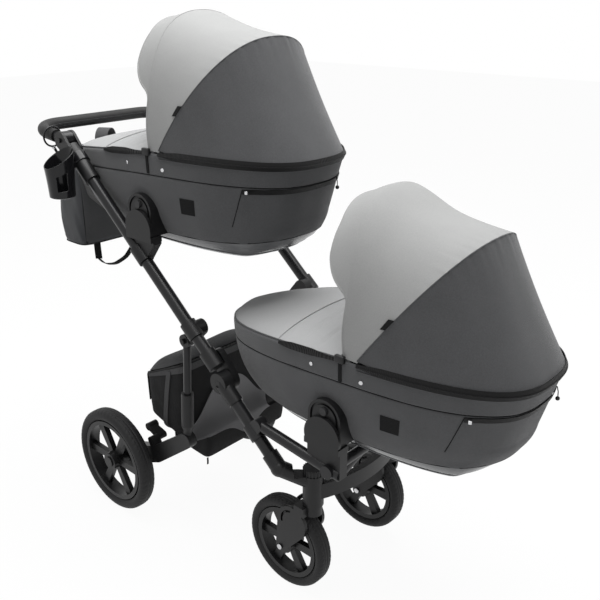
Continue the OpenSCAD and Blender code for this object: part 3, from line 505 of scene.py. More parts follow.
def makeTub(name):
    # profile: up the outside, over the rolled rim, down the lining
    low, seam, end = cot["tubLow"], cot["seamHeight"], cot["riseEnd"]
    wallRows, rolled = 20, [(0.997, 0.0008), (1.0, 0.0022), (1.0, 0.0038), (0.997, 0.0052)]
    outer = np.concatenate([np.linspace(low, 0.76, wallRows), [0.775, 0.785, 0.79, 0.795, 0.805],
                            np.linspace(0.82, 0.985, 7)])
    puff = np.where(outer < seam, np.sin(np.pi * np.clip(outer, 0.1, 1) / seam) + 0.5, 0.6) * cot["swell"]
    groove = np.exp(-((outer - seam) / cot["seamHalf"]) ** 2) * cot["seamDeep"]
    rows = list(zip(outer, groove - puff)) + rolled + [(h, cot["wall"]) for h in np.linspace(0.98, 0.2, 14)]

    def shape(u, v):
        h, depth = profile(rows, v)
        turn = evenTurns(u)
        foot = tubFoot(turn)
        outside = (v * (len(rows) - 1) < wallRows) & (h < end)
        h = np.where(outside, foot + (h - low) * (end - foot) / (end - low), h)
        ripple = cot["ripple"] * np.sin(turn * 23) * np.sin(turn * 7 + 1) * (h < 0.97)
        return cotPoint(h, turn, depth - ripple)
    return clothGrid(name, 160, len(rows) - 1, shape, (2.0, 0.6), joined=True)


def makeBase(name):
    levels = [(0.0, 0.002), (0.0, 0.5), (0.0, 0.9), (0.0, 0.985), (0.004, 1.0), (0.012, 1.0), (0.04, 1.0),
              (0.09, 1.0), (0.16, 1.0), (0.22, 1.0), (0.25, 1.0), (0.253, 0.996), (0.25, 0.986), (0.16, 0.984),
              (0.09, 0.983), (0.05, 0.982), (0.03, 0.9), (0.03, 0.002)]

    def shape(u, v):
        h, share = profile(levels, v)
        turn = evenTurns(u)
        points = cotPoint(h * tubFoot(turn) / cot["tubLow"], turn)
        points[:, :2] *= share[:, None]
        return points
    return smooth(clothGrid(name, 120, len(levels) - 1, shape, (1.4, 0.2), joined=True), 50)


apron = {"head": 0.066, "toe": 0.006, "edge": 0.003, "crown": 0.024, "wall": 0.006, "lift": 0.0004,
         "edgeWall": 0.0012, "pipingAt": 0.56, "pipingDeep": 0.002, "pipingHalf": 0.01,
         "channels": (0.68, 0.80, 0.92), "channelDeep": 0.0024, "channelHalf": 0.012, "channelReach": 0.9}
apron["start"] = -cot["halfLength"] * (1 - apron["toe"])


def apronPoint(s, t, lift):
    x = apron["start"] + (apron["head"] - apron["start"]) * s
    half = (cot["halfWidth"] - apron["edge"]) * arcAt(x / cot["halfLength"], cot["footPower"])
    swell = np.sin(np.pi / 2 * np.minimum(1, (s + 0.06) * 1.2)) ** 0.8
    return columns(x, half * t, rimHeight(x) + apron["lift"] + apron["crown"] * (1 - t * t) * swell + lift)


def makeApron(name):
    def shape(u, v):
        # round the section: over the top from right to left, then back underneath
        top = u < 0.5
        t = np.where(top, 4 * u - 1, 3 - 4 * u)
        pad = apron["wall"] * (1 - np.abs(t) ** 6) + apron["edgeWall"]
        for at in apron["channels"]:
            dip = apron["channelDeep"] * np.exp(-((v - at) / apron["channelHalf"]) ** 2)
            pad = pad - dip * (np.abs(t) < apron["channelReach"])
        pad = pad - apron["pipingDeep"] * np.exp(-((v - apron["pipingAt"]) / apron["pipingHalf"]) ** 2)
        return apronPoint(v, np.clip(t, -1, 1), np.where(top, pad, 0.0))
    obj = clothGrid(name, 96, 96, shape, (0.9, 0.5), joined=True)
    for x in (apron["start"], apron["head"]):
        closeEnd(obj, x)
    return obj


def closeEnd(obj, x):
    # fill the open end ring that lies in the plane at x
    pick(obj)
    bpy.ops.object.mode_set(mode="EDIT")
    bpy.ops.mesh.select_all(action="DESELECT")
    bpy.ops.mesh.select_mode(type="EDGE")
    bpy.ops.mesh.select_non_manifold(extend=False)
    bpy.ops.object.mode_set(mode="OBJECT")
    points = obj.data.vertices
    for point in points:
        point.select = False
    for edge in obj.data.edges:
        edge.select = edge.select and all(abs(points[i].co.x - x) < 0.0005 for i in edge.vertices)
    for edge in obj.data.edges:
        if edge.select:
            for i in edge.vertices:
                points[i].select = True
    bpy.ops.object.mode_set(mode="EDIT")
    bpy.ops.mesh.edge_face_add()
    bpy.ops.object.mode_set(mode="OBJECT")


mattress = {"height": 0.012, "gap": 0.026, "floor": 0.0065}


def makeMattress(name):
    levels = [(0.0, 0.003), (0.0, 0.6), (0.001, 0.93), (0.006, 0.985), (0.016, 1.0), (0.028, 1.0), (0.038, 0.985),
              (0.042, 0.94), (0.0435, 0.85), (0.044, 0.5), (0.044, 0.003)]

    def shape(u, v):
        rise, share = profile(levels, v)
        points = cotPoint(np.full(len(u), mattress["height"]), evenTurns(u), mattress["gap"])
        points[:, :2] *= share[:, None]
        points[:, 2] = mattress["floor"] + rise
        return points
    return clothGrid(name, 96, 40, shape, (1.2, 0.4), joined=True)


# hoods; puckers and footDrop: height, and how far they run
hood = {"pivotX": 0.082, "pivotLift": 0.0045, "halfWidth": 0.204, "midRadius": 0.309, "frontRadius": 0.307,
        "midAngle": 54, "frontAngle": 101, "power": 2.3, "start": 0.5, "headInset": 0.002, "wall": 0.0024,
        "sag": 0.004, "frontSag": 0.007, "foot": 0.030, "footSpan": 0.36, "brimFlare": 0.011, "bowAt": 0.72,
        "brimAt": (0, 21, 23.5, 27, 32, 39, 47, 58, 90), "brimReach": (0, 0, 6, 13, 16.5, 17.5, 15.5, 13, 13.5),
        "rimGap": 0.0006, "rearPucker": (0.0013, 0.10), "frontPucker": (0.0016, 0.09), "footDrop": (0.005, 0.09),
        "puff": {"upper": 0.0, "lower": 0.016}, "puffRun": 0.2, "hubR": 0.012}
hoodPivot = np.array([hood["pivotX"], 0, rimHeight(hood["pivotX"]) + hood["pivotLift"]])


def hoodSide(t):
    return hood["halfWidth"] * bent(np.cos(t), hood["power"])


def archPoint(angle, radius, t):
    reach = radius * np.sin(t) ** (2 / hood["power"])
    a = np.radians(angle)
    return columns(hoodPivot[0] + reach * np.cos(a), hoodSide(t), hoodPivot[2] + reach * np.sin(a))


def rimArch(t):
    y = hoodSide(t)
    share = arcAt(y / cot["halfWidth"], cot["headPower"])
    x = np.maximum(hood["pivotX"], (cot["halfLength"] - hood["headInset"]) * share)
    return columns(x, y, rimHeight(x) + hood["rimGap"])


def midArch(t):
    return archPoint(np.full_like(t, hood["midAngle"]), hood["midRadius"], t)


def footShift(points, t):
    # the light panel stands on a broad foot at the rim
    low = np.minimum(t, np.pi - t)
    points[:, 0] -= hood["foot"] * np.exp(-(low / hood["footSpan"]) ** 2)
    return points


def frontArch(t):
    return footShift(archPoint(np.full_like(t, hood["frontAngle"]), hood["frontRadius"], t), t)


def brimArch(t):
    low = np.degrees(np.minimum(t, np.pi - t))
    reach = sum(np.interp(low + step, hood["brimAt"], hood["brimReach"]) for step in (-2, -1, 0, 1, 2)) / 5
    flare = hood["brimFlare"] * reach / max(hood["brimReach"])
    return footShift(archPoint(hood["frontAngle"] + reach, hood["frontRadius"] + flare, t), t)


def archTurn(u):
    start = math.radians(hood["start"])
    return start + (math.pi - 2 * start) * u


def between(first, second, share):
    return first * (1 - share)[:, None] + second * share[:, None]


def towardsPivot(points, depth):
    inward = hoodPivot * np.array([1, 0, 1]) - points * np.array([1, 0.55, 1])
    return points + unit(inward) * depth[:, None]


def makeHoodRear(name):
    height, run = hood["rearPucker"]

    def shape(u, v):
        t = archTurn(u)
        pucker = height * np.sin(t * 63) * np.sin(t * 17 + 2) * np.exp(-(1 - v) / run)
        return towardsPivot(between(rimArch(t), midArch(t), v),
                            (hood["sag"] * np.sin(np.pi * v) + pucker) * np.sin(t))
    return thicken(clothGrid(name, 120, 40, shape, (0.8, 0.33)), hood["wall"])


def makeHoodFront(name, puff):
    split, (height, run), (drop, dropRun) = hood["bowAt"], hood["frontPucker"], hood["footDrop"]

    def shape(u, v):
        t = archTurn(u)
        a, b = np.clip(v / split, 0, 1), np.clip((v - split) / (1 - split), 0, 1)
        points = np.where((v > split)[:, None], between(frontArch(t), brimArch(t), b),
                          between(midArch(t), frontArch(t), a))
        pucker = height * np.sin(t * 71 + 1) * np.sin(t * 19) * np.exp(-a / run)
        full = puff * np.sin(t) ** 2 * np.exp(-((v - split) / hood["puffRun"]) ** 2)
        points = towardsPivot(points, (hood["frontSag"] * np.sin(np.pi * a) + pucker) * np.sin(t) - full)
        points[:, 2] -= drop * np.exp(-(np.minimum(t, np.pi - t) / dropRun) ** 2)
        return points
    return thicken(clothGrid(name, 120, 60, shape, (0.8, 0.4)), hood["wall"])


def foldShare(obj, place, low, high):
    # each point's share of the fold, by its angle about the pivot, is worked out here but not kept, so the cloth
    # does not turn
    points = readPoints(obj) - place - hoodPivot
    angle = np.degrees(np.arctan2(points[:, 2], points[:, 0]))
    near = np.hypot(points[:, 0], points[:, 2]) < hood["hubR"]
    share = np.clip((angle - low) / (high - low), 0, 1)
    share[near] = 0.5


cotPieces = ((makeTub, "TubCloth", "darkCloth", "tub_cloth", "_tub"),
             (makeBase, "BaseTray", "trayGrey", "cot_base", "_base"),
             (makeApron, "ApronPad", "apronCloth", "light_cloth", "_apron"),
             (makeMattress, "MattressPad", "liningCloth", "mattress", "_mattress"))
for side, place in places.items():
    for make, part, material, slot, node in cotPieces:
        dress(settle(make(side + part), place), material, side + "_cot", slot, side + node)
    rear = dress(settle(makeHoodRear(side + "HoodRearCloth"), place), "darkCloth", None, "hood_cloth",
                 side + "_hood_rear")
    front = dress(settle(makeHoodFront(side + "HoodFrontCloth", hood["puff"][side]), place), "lightCloth", None,
                  "light_cloth", side + "_hood_front")
    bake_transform(rear)
    foldShare(rear, place, 0, hood["midAngle"])
    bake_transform(front)
    foldShare(front, place, hood["midAngle"], hood["frontAngle"])
print("carrycots and hoods are sewn")

# trims sewn on each carrycot; turns in degrees round the tub, heights as shares of its depth
# spots: height, turn and lift; strap and loop: width and wall
trims = {"zip": (277, 443), "zipHeights": (0.956, 1.036), "teethHeight": 0.992, "pocket": (315, 405),
         "pocketHeights": (0.722, 0.768), "pocketRise": 0.022, "pocketEdge": (0.765, 0.38), "pocketLean": (-5, 5),
         "slider": (0.016, 0.007, 0.008), "sliderSpot": (0.746, 317.6, 0.0046), "sliderTurn": -62,
         "patchTurns": (284.5, 291.0), "patchHeights": (0.44, 0.60), "baseHeights": (0.006, 0.050),
         "strapTurn": 273, "strap": (0.008, 0.0018), "strapInsets": (0.0005, 0.003, 0.008, 0.014),
         "buckle": (0.024, 0.010, 0.017), "snaps": ((0.885, 267.4), (0.855, 278.5)), "snapSize": (0.0046, 0.003),
         "snapLift": 0.0024, "apronZip": (255.5, 272), "apronZipHeights": (0.968, 1.034),
         "cordSpot": (0.80, 374, 0.003), "cordDrop": (0.004, 0, -0.022), "ballR": 0.0046, "tagFrom": 163.2,
         "tagLong": 5.4, "tagLift": 0.0030, "tagWall": 0.0012, "loopSpot": (-0.385, -0.020, 0.196),
         "loopHalf": 0.032, "loopRise": 0.031, "loop": (0.036, 0.0020), "lineCells": 110, "edgeGap": 0.004,
         "strapFrom": 0.80, "strapLift": 0.0022, "strapRise": 0.007, "buckleLift": 0.003, "buckleRise": 0.004}
# strips of cloth on the tub: lift, wall, cells, material, slot
strips = {
    "RimZip": (0.0030, 0.0016, (110, 8), "zipTape", "frame_black"),
    # band round the tray's foot, lighter to paint the highlight along the tray's bottom edge
    "BaseHighlightBand": (0.0018, 0.0016, (150, 6), "baseSilverHighlight", "cot_base"),
    "PocketZip": (0.0026, 0.0016, (70, 4), "zipTape", "frame_black"),
    "Patch": (0.0026, 0.0012, (12, 8), "webbing", "frame_black"),
    "ApronZip": (0.0030, 0.0024, (24, 8), "zipTape", "frame_black"),
}
# cords and piping: lift, radius, material, slot, body
cords = {
    "RimZipTeeth": (0.0042, 0.0013, "zipTape", "frame_black", "_cot"),
    "RimZipEdge": (0.0022, 0.0011, "darkCloth", "tub_cloth", "_cot"),
    # black cord where the cloth ends: painted shadow for the groove between cloth and tray
    "TubFootShadow": (0.0002, 0.0018, "webbing", "frame_black", "_cot"),
    "TubSeam": (0.0001, 0.0010, "webbing", "frame_black", "_cot"),
    "PocketEdge": (0.0024, 0.0009, "webbing", "frame_black", "_cot"),
    "ZipCord": (0.0015, 0.0011, "webbing", "frame_black", "_cot"),
    "MidPiping": (0.0006, 0.0016, "darkCloth", "hood_cloth", "_hood"),
    "BrimPiping": (0.0, 0.0026, "lightCloth", "light_cloth", "_hood_tip"),
    "BowSeam": (0.0014, 0.0005, "lightCloth", "light_cloth", "_hood_tip"),
    "ApronPiping": (0.0072, 0.0014, "apronCloth", "light_cloth", "_cot"),
    "ApronEdge": (0.0016, 0.0018, "darkCloth", "tub_cloth", "_cot"),
}


def tubPatch(name, heights, turns, lift, wall, cells):
    # a piece of cloth that lies on the tub between two heights and two turns
    def shape(u, v):
        h = heights[0](u) + (heights[1](u) - heights[0](u)) * v
        turn = np.radians(turns[0] + (turns[1] - turns[0]) * u)
        over = np.maximum(h - 1, 0) * cot["depth"]
        points = cotPoint(np.minimum(h, 1), turn, over * 0.4 - lift)
        points[:, 2] += over
        return points
    span = abs(turns[1] - turns[0]) / 360 * 2.0
    return thicken(clothGrid(name, cells[0], cells[1], shape, (span, 0.02)), wall)


def tubLine(h, turns, lift, count):
    return cotPoint(np.full(count, h), sweep(*turns, count), -lift)


def level(value):
    return lambda u: np.full_like(u, value)


def rising(value):
    return lambda u: value + trims["pocketRise"] * u


def tapered(value, run):
    # a height that draws in to the rim over the first and last run of the strip
    return lambda u: 1 + (value - 1) * np.clip(np.minimum(u, 1 - u) / run, 0.2, 1) ** 0.5


def outward(h, turn):
    return unit(spotOn(h, turn, 0.01) - spotOn(h, turn))


def tagShape(u, v):
    t = np.radians(trims["tagFrom"] - trims["tagLong"] * v + 0.6 * u)
    points = between(midArch(t), frontArch(t), 0.10 * u)
    return points + unit(points - hoodPivot * np.array([1, 0, 1])) * trims["tagLift"]


def trimCot(side):
    def sew(obj, material, slot="frame_black", on="_cot"):
        dress(settle(obj, places[side]), material, side + on, slot)

    def strip(part, heights, turns, hand=""):
        lift, wall, cells, material, slot = strips[part]
        sew(tubPatch(side + part + hand, heights, turns, lift, wall, cells), material, slot)

    def cord(part, line, mark="", closed=False):
        lift, radius, material, slot, on = cords[part]
        sew(wire(side + part + mark, line(lift), radius, closed), material, slot, on)

    # main zip round the head, where the hood meets the tub, with a fine edge below it
    low, high = trims["zipHeights"]
    strip("RimZip", (tapered(low, 0.05), tapered(high, 0.05)), trims["zip"])
    cord("RimZipTeeth", lambda lift: tubLine(trims["teethHeight"], trims["zip"], lift, trims["lineCells"]))
    cord("RimZipEdge", lambda lift: tubLine(low - trims["edgeGap"], trims["zip"], lift, trims["lineCells"]))
    # silver band round the tray's foot, lightened into a painted highlight along its bottom edge, and a black
    # cord where the cloth ends, a painted shadow for the groove between cloth and tray
    strip("BaseHighlightBand", [level(h) for h in trims["baseHeights"]], (0, 360))
    around = sweep(0, 360, 200)[:-1]
    # black cord painted as the shadow in the groove at the cloth's foot
    cord("TubFootShadow", lambda lift: cotPoint(tubFoot(around) + trims["edgeGap"], around, -lift), closed=True)
    # seam round the tub, pocket zip over the head end and the pocket's side edges
    cord("TubSeam", lambda lift: tubLine(cot["seamHeight"], (0, 360), lift, 200)[:-1], closed=True)
    strip("PocketZip", [rising(h) for h in trims["pocketHeights"]], trims["pocket"])
    for number, (turn, lean) in enumerate(zip(trims["pocket"], trims["pocketLean"])):
        down = np.linspace(*trims["pocketEdge"], 30)
        cord("PocketEdge", lambda lift: cotPoint(down, sweep(turn, turn + lean, 30), -lift), str(number))
    sew(roundedBlock(side + "PocketSlider", trims["slider"], spotOn(*trims["sliderSpot"]), trims["sliderTurn"]),
        "steel", "axle_steel")
    # plain dark patch and the folded tag in the hood's seam
    strip("Patch", [level(h) for h in trims["patchHeights"]], trims["patchTurns"])
    tag = clothGrid(side + "SeamTag", 6, 10, tagShape, (0.02, 0.03))
    sew(thicken(tag, trims["tagWall"]), "webbing", on="_hood")
    # each side: strap with its buckle, two snaps, the apron's zip
    for hand, sign in hands:
        def mirrored(turn):
            return 360 - turn if sign > 0 else turn
        turn = mirrored(trims["strapTurn"])
        line = [spotOn(h, turn, trims["strapLift"]) for h in np.linspace(trims["strapFrom"], 1.0, 14)]
        line += [spotOn(1.0, turn, -inset) + [0, 0, trims["strapRise"]] for inset in trims["strapInsets"]]
        sew(ribbon(side + "SideStrap" + hand, smoothLine(line, 24), (1, 0, 0), *trims["strap"]), "webbing")
        spot = spotOn(1.0, turn, trims["buckleLift"]) + [0, 0, trims["buckleRise"]]
        sew(roundedBlock(side + "Buckle" + hand, trims["buckle"], spot, bevel=0.003), "plasticBlack",
            "frame_plastic")
        for number, (h, angle) in enumerate(trims["snaps"]):
            angle = mirrored(angle)
            sew(disc(side + "Snap" + hand + str(number), *trims["snapSize"], spotOn(h, angle, trims["snapLift"]),
                     outward(h, angle)), "steel", "axle_steel")
        strip("ApronZip", [tapered(h, 0.3) for h in trims["apronZipHeights"]],
              [mirrored(t) for t in trims["apronZip"]], hand)
    # cord with a ball at the hood zip's end
    start = spotOn(*trims["cordSpot"])
    end = start + trims["cordDrop"]
    cord("ZipCord", lambda lift: [start, (start + end) / 2 + [lift, 0, 0], end])
    sew(ball(side + "ZipBall", trims["ballR"], end - [0, 0, 0.004]), "plasticBlack", "frame_plastic")
    # piping along the hood's lines
    line = sweep(hood["start"], 180 - hood["start"], 120)
    for part, arch in (("MidPiping", midArch), ("BrimPiping", brimArch), ("BowSeam", frontArch)):
        cord(part, lambda lift: towardsPivot(arch(line), np.full(120, -lift)))
    # piping across the apron and along its edges
    across = np.linspace(-0.985, 0.985, 60)
    cord("ApronPiping", lambda lift: apronPoint(np.full(60, apron["pipingAt"]), across, lift * (1 - across ** 6)))
    for hand, sign in hands:
        cord("ApronEdge", lambda lift: apronPoint(np.linspace(0, 1, 80), np.full(80, sign * 0.995), lift), hand)
    if side == "upper":
        # the loop at the foot
        turn = sweep(-18, 198, 44)
        arch = trims["loopSpot"] + np.cos(turn)[:, None] * np.array([-0.5, 0.85, 0]) * trims["loopHalf"]
        arch[:, 2] += trims["loopRise"] * np.sin(turn)
        sew(ribbon(side + "FootLoop", arch, (0.85, 0.5, 0), *trims["loop"]), "greyWeb", "tub_cloth")


for side in places:
    trimCot(side)
print("trims are sewn on")

# shopping basket: a soft wedge with a zipped lid, and an open pocket in front
# band and zip: from, to, lift and wall; straps, tab and puller: width and wall
basket = {"heel": (0.038, 0.280), "belly": (0.202, 0.228), "ridge": (0.205, 0.480), "rear": (0.033, 0.396),
          "half": 0.150, "power": 9, "bulge": 0.022, "strapY": 0.128, "barX": 0.140, "barZ": 0.205,
          "barR": 0.0132, "crown": 0.0255, "lidWall": 0.006, "band": (0.885, 0.962, 0.010, 0.0018),
          "zip": (0.972, 0.995, 0.006, 0.0016), "barStrap": (0.026, 0.0022), "sideStrap": (0.017, 0.0018),
          "tab": (0.020, 0.004), "puller": (0.005, 0.0014), "crease": 0.006, "tuck": 0.0016, "seat": 0.0012,
          "strapGap": 0.0016, "sideGap": 0.0036, "tabGap": 0.0015, "tabSpan": (0.96, 0.30),
          "tabAt": (-0.958, 0.93),
          "pullerLine": [(0.280, -0.1495, 0.224), (0.281, -0.150, 0.214), (0.280, -0.150, 0.204)]}


def roundedSquare(turn, power):
    return bent(np.cos(turn), power), bent(np.sin(turn), power)


def squareTurns(share, power):
    turn = np.linspace(0, 2 * np.pi, 2881)
    run = runAlong(columns(*roundedSquare(turn, power)))
    return np.interp(share, run / run[-1], turn)


def basketPoint(k, a, b):
    # k rises from the bottom to the top edge, a runs from rear to front, b from right to left
    along = (a + 1) / 2
    bottom = [basket["heel"][i] + (basket["belly"][i] - basket["heel"][i]) * along for i in (0, 1)]
    top = [basket["rear"][i] + (basket["ridge"][i] - basket["rear"][i]) * along for i in (0, 1)]
    x, z = (bottom[i] * (1 - k) + top[i] * k for i in (0, 1))
    return columns(x, basket["half"] * b, z)


def makeBasket(name):
    levels = [(0.0, 0.003), (0.0, 0.5), (0.002, 0.9), (0.012, 0.975), (0.04, 1.0)]
    levels += [(k, 1.0) for k in np.linspace(0.1, 0.97, 12)] + [(0.985, 0.998), (0.99, 0.985), (0.98, 0.972)]
    levels += [(k, 0.970) for k in np.linspace(0.9, 0.08, 8)] + [(0.03, 0.9), (0.03, 0.003)]

    def shape(u, v):
        k, scale = profile(levels, v)
        a, b = roundedSquare(squareTurns(u, basket["power"]), basket["power"])
        swell = np.sin(np.pi * np.clip(k, 0, 1))
        soft = basket["bulge"] * swell * (1 - np.minimum(a * a, b * b))
        crease = basket["crease"] * np.sin(5 * a + 9 * k) * np.sin(4 * b + 7 * k + 1) * swell
        grown = scale * (1 + soft + crease)
        return basketPoint(k, a * grown, b * grown)
    return clothGrid(name, 160, len(levels) * 2, shape, (1.0, 0.6), joined=True)


def basketBand(name, low, high, lift, wall):
    def shape(u, v):
        a, b = roundedSquare(squareTurns(u, basket["power"]), basket["power"])
        return basketPoint(low + (high - low) * v, a * (1 + lift), b * (1 + lift))
    return thicken(clothGrid(name, 160, 3, shape, (1.0, 0.02), joined=True), wall)


def makeLid(name):
    span = np.array(basket["ridge"]) - np.array(basket["rear"])
    long = float(np.hypot(*span))
    cosine, sine = span / long

    def shape(u, v):
        # over the crown and back underneath
        top = v < 0.5
        a, b = 2 * u - 1, 2 * np.where(top, 2 * v, 2 - 2 * v) - 1
        lift = (1 - np.abs(b) ** 2.6) ** 0.7 * (1 - np.abs(a) ** 9) ** 0.5
        a, s = a * np.sqrt(1 - 0.15 * b * b), 0.5 + 0.5 * b * np.sqrt(1 - 0.15 * a * a)
        tuck = basket["tuck"] * np.sin(3 * a + 5 * b) * lift
        under = (basket["crown"] - basket["lidWall"]) * lift - 0.0002
        height = basket["seat"] + np.where(top, basket["crown"] * lift + tuck, under)
        along = long * s
        return columns(basket["rear"][0] + along * cosine - height * sine, basket["half"] * a,
                       basket["rear"][1] + along * sine + height * cosine)
    return clothGrid(name, 80, 80, shape, (0.3, 0.4), joined=True)


tray = {"rear": 0.200, "front": 0.279, "half": 0.149, "low": 0.229, "top": 0.281, "dip": 0.043, "dipHalf": 0.045,
        "floorHalf": 0.1455, "panelFrom": 0.255, "wall": 0.0026, "floorWall": 0.0018, "hollow": 0.006,
        "lean": 0.006, "bow": 0.003, "edgeLift": 0.004, "wave": 0.0012, "riseFrom": 0.204, "riseRun": 0.07,
        "hem": 0.003,
        "section": [(0.2112, 0, 0.300), (0.2105, 0, 0.262), (0.217, 0, 0.238), (0.276, 0, 0.229)]}


def makeTray(name):
    rear, front, half = tray["rear"], tray["front"], tray["half"]
    path = smoothLine([(rear, -half, 0), (front, -half, 0), (front, half, 0), (rear, half, 0)], 120)

    def shape(u, v):
        x, y, _ = profile(path, u)
        ahead = np.clip((x - tray["riseFrom"]) / tray["riseRun"], 0, 1)
        low = tray["low"] - tray["hollow"] * ahead
        top = tray["top"] - tray["dip"] * np.exp(-(y / tray["dipHalf"]) ** 2)
        high = low + tray["hem"] + (top - low) * ahead ** 0.8
        outwards = (tray["lean"] * v + tray["bow"] * np.sin(np.pi * v)) * ahead
        return columns(x + outwards, y, low + (high - low) * v)
    return thicken(clothGrid(name, 119, 14, shape, (0.45, 0.06)), tray["wall"])


def makeTrayFloor(name):
    section = smoothLine(tray["section"], 40)

    def shape(u, v):
        x, _, z = profile(section, v)
        y = tray["floorHalf"] * (2 * u - 1)
        rise = np.sin(np.pi / 2 * np.clip(np.minimum(u, 1 - u) / 0.4, 0, 1)) ** 2
        start = tray["panelFrom"]
        z = np.where(z > start, start + (z - start) * (0.65 + 2.2 * rise), z)
        uneven = tray["edgeLift"] * np.abs(2 * u - 1) ** 4 + tray["wave"] * np.sin(9 * u + 4 * v)
        return columns(x, y, z + uneven)
    return thicken(clothGrid(name, 40, 39, shape, (0.3, 0.14)), tray["floorWall"])


def hangBasket(obj, material, *replaced, body="rear_unit"):
    dress(obj, material, body, "basket_cloth", *replaced)


hangBasket(makeBasket("basketShell"), "basketCloth", "basket")
hangBasket(basketBand("basketBand", *basket["band"]), "greyWeb")
hangBasket(basketBand("basketZip", *basket["zip"]), "zipTape")
hangBasket(makeTray("trayWall"), "basketCloth")
hangBasket(makeTrayFloor("trayFloor"), "greyFloor")
hangBasket(makeLid("lidCloth"), "lidMesh", "basket_lid", body="lid")
for hand, sign in hands:
    loop = sweep(100, 440, 40)
    strapR, strapY = basket["barR"] + basket["strapGap"], sign * basket["strapY"]
    ring = columns(basket["barX"] + strapR * np.cos(loop), np.full(40, strapY),
                   basket["barZ"] + strapR * np.sin(loop))
    lead = [(basket["barX"] - 0.002, strapY, z) for z in np.linspace(0.262, ring[0, 2], 6)]
    hangBasket(ribbon("barStrap" + hand, np.concatenate([lead, ring]), (0, 1, 0), *basket["barStrap"]), "webbing")
    outside = sign * (basket["half"] + basket["sideGap"])
    line = smoothLine([(0.143, outside, 0.437), (0.132, outside * 1.018, 0.37), (0.119, outside * 1.012, 0.295),
                       (0.114, outside, 0.262), (0.116, sign * 0.143, 0.250)], 30)
    hangBasket(ribbon("sideStrap" + hand, line, (1, 0, 0.1), *basket["sideStrap"]), "greyWeb")
for hand, sign in hands:
    back, beside = basket["tabAt"]
    corner = basketPoint(np.linspace(*basket["tabSpan"], 12), np.full(12, back), np.full(12, sign * beside))
    corner = corner + basket["tabGap"] * np.array([-1, sign, 0])
    hangBasket(ribbon("cornerTab" + hand, corner, (0.7, sign * 0.7, 0), *basket["tab"]), "webbing")
puller = smoothLine(basket["pullerLine"], 8)
hangBasket(ribbon("trayPuller", puller, (0, 1, 0), *basket["puller"]), "webbing")
print("basket is hung")

# changing bag on its two hooks
# pocket and panel: lift and wall; zip, strap, tab and loop: width and wall
bag = {"x": -0.328, "depth": 0.128, "width": 0.224, "top": 0.921, "height": 0.235, "power": 5, "hookX": -0.202,
       "hookY": 0.212, "hookZ": 1.032, "hookR": 0.0255, "wireR": 0.0025, "faceHalf": 0.099, "pocketLow": 0.704,
       "pocketHigh": 0.842, "pocketDip": 0.748, "pocketEnd": 0.083, "panelHigh": 0.914, "strapY": 0.094,
       "strapZ": 0.903, "shares": (0, 0.02, 0.08, 0.3, 0.6, 0.86, 0.96, 1),
       "swells": (0.8, 0.9, 0.97, 1, 0.99, 0.95, 0.9, 0.82),
       "pocket": (0.0052, 0.0022), "panel": (0.0026, 0.0014), "zipHalf": 0.092, "zip": (0.014, 0.0022),
       "strap": (0.014, 0.0020), "tab": (0.020, 0.0016), "loop": (0.020, 0.0018), "swivelR": 0.0052,
       "slack": 0.0022, "wrinkle": 0.0010, "inset": 0.001, "pipingR": 0.0016, "bottomR": 0.0014, "bottomAt": 0.02,
       "overlap": 0.012, "zipDrop": 0.0045, "strapSag": 0.004,
       "tabLine": [(-0.292, -0.050, 0.692), (-0.291, -0.050, 0.660), (-0.291, -0.049, 0.634)],
       "loopLine": [(-0.291, -0.049, 0.634), (-0.291, -0.030, 0.612), (-0.291, 0.008, 0.603),
                    (-0.291, 0.050, 0.616), (-0.291, 0.078, 0.645), (-0.292, 0.084, 0.692)]}


def bagHalves(h):
    # half depth and half width at a height
    swell = np.interp(h, bag["shares"], bag["swells"])
    return swell * bag["depth"] / 2, (1 + swell) / 2 * bag["width"] / 2


def bagPoint(h, turn, lift):
    deep, wide = bagHalves(h)
    a, b = roundedSquare(turn, bag["power"])
    return columns(bag["x"] + (deep + lift) * a, (wide + lift) * b, bag["top"] - bag["height"] * (1 - h))


def makeBag(name):
    levels = [(0.0, 0.003), (0.0, 0.6), (0.0, 0.93)] + [(h, 1.0) for h in np.linspace(0.004, 0.99, 34)]
    levels += [(1.0, 0.96), (0.985, 0.8), (0.975, 0.4), (0.97, 0.003)]

    def shape(u, v):
        h, scale = profile(levels, v)
        turn = squareTurns(u, bag["power"])
        slack = bag["slack"] * np.sin(3 * turn + 5 * h) * np.sin(np.pi * h)
        slack = slack + bag["wrinkle"] * np.sin(11 * turn + 16 * h) * (1 - h)
        points = bagPoint(h, turn, slack - bag["inset"])
        points[:, 0] = bag["x"] + (points[:, 0] - bag["x"]) * scale
        points[:, 1] *= scale
        return points
    return clothGrid(name, 128, len(levels) * 2, shape, (0.7, 0.3), joined=True)


def frontPanel(name, low, high, lift, wall):
    # cloth on the bag's face that looks forward, between two lines
    def shape(u, v):
        y = bag["faceHalf"] * (2 * u - 1)
        z = low(y) + (high(y) - low(y)) * v
        deep, wide = bagHalves(np.clip(1 - (bag["top"] - z) / bag["height"], 0, 1))
        a = arcAt(np.clip(np.abs(y) / wide, 0, 1), bag["power"])
        return columns(bag["x"] + deep * a + lift, y, z)
    return thicken(clothGrid(name, 40, 24, shape, (0.2, 0.15)), wall)


def pocketLine(y):
    valley = np.minimum(bag["pocketDip"] + 1.05 * np.sqrt(y * y + 0.0004), bag["pocketHigh"])
    return valley + np.maximum(np.abs(y) - bag["pocketEnd"], 0) * 4.4


def hangBag(obj, material, *replaced, slot="bag_cloth"):
    dress(obj, material, "bag", slot, *replaced)


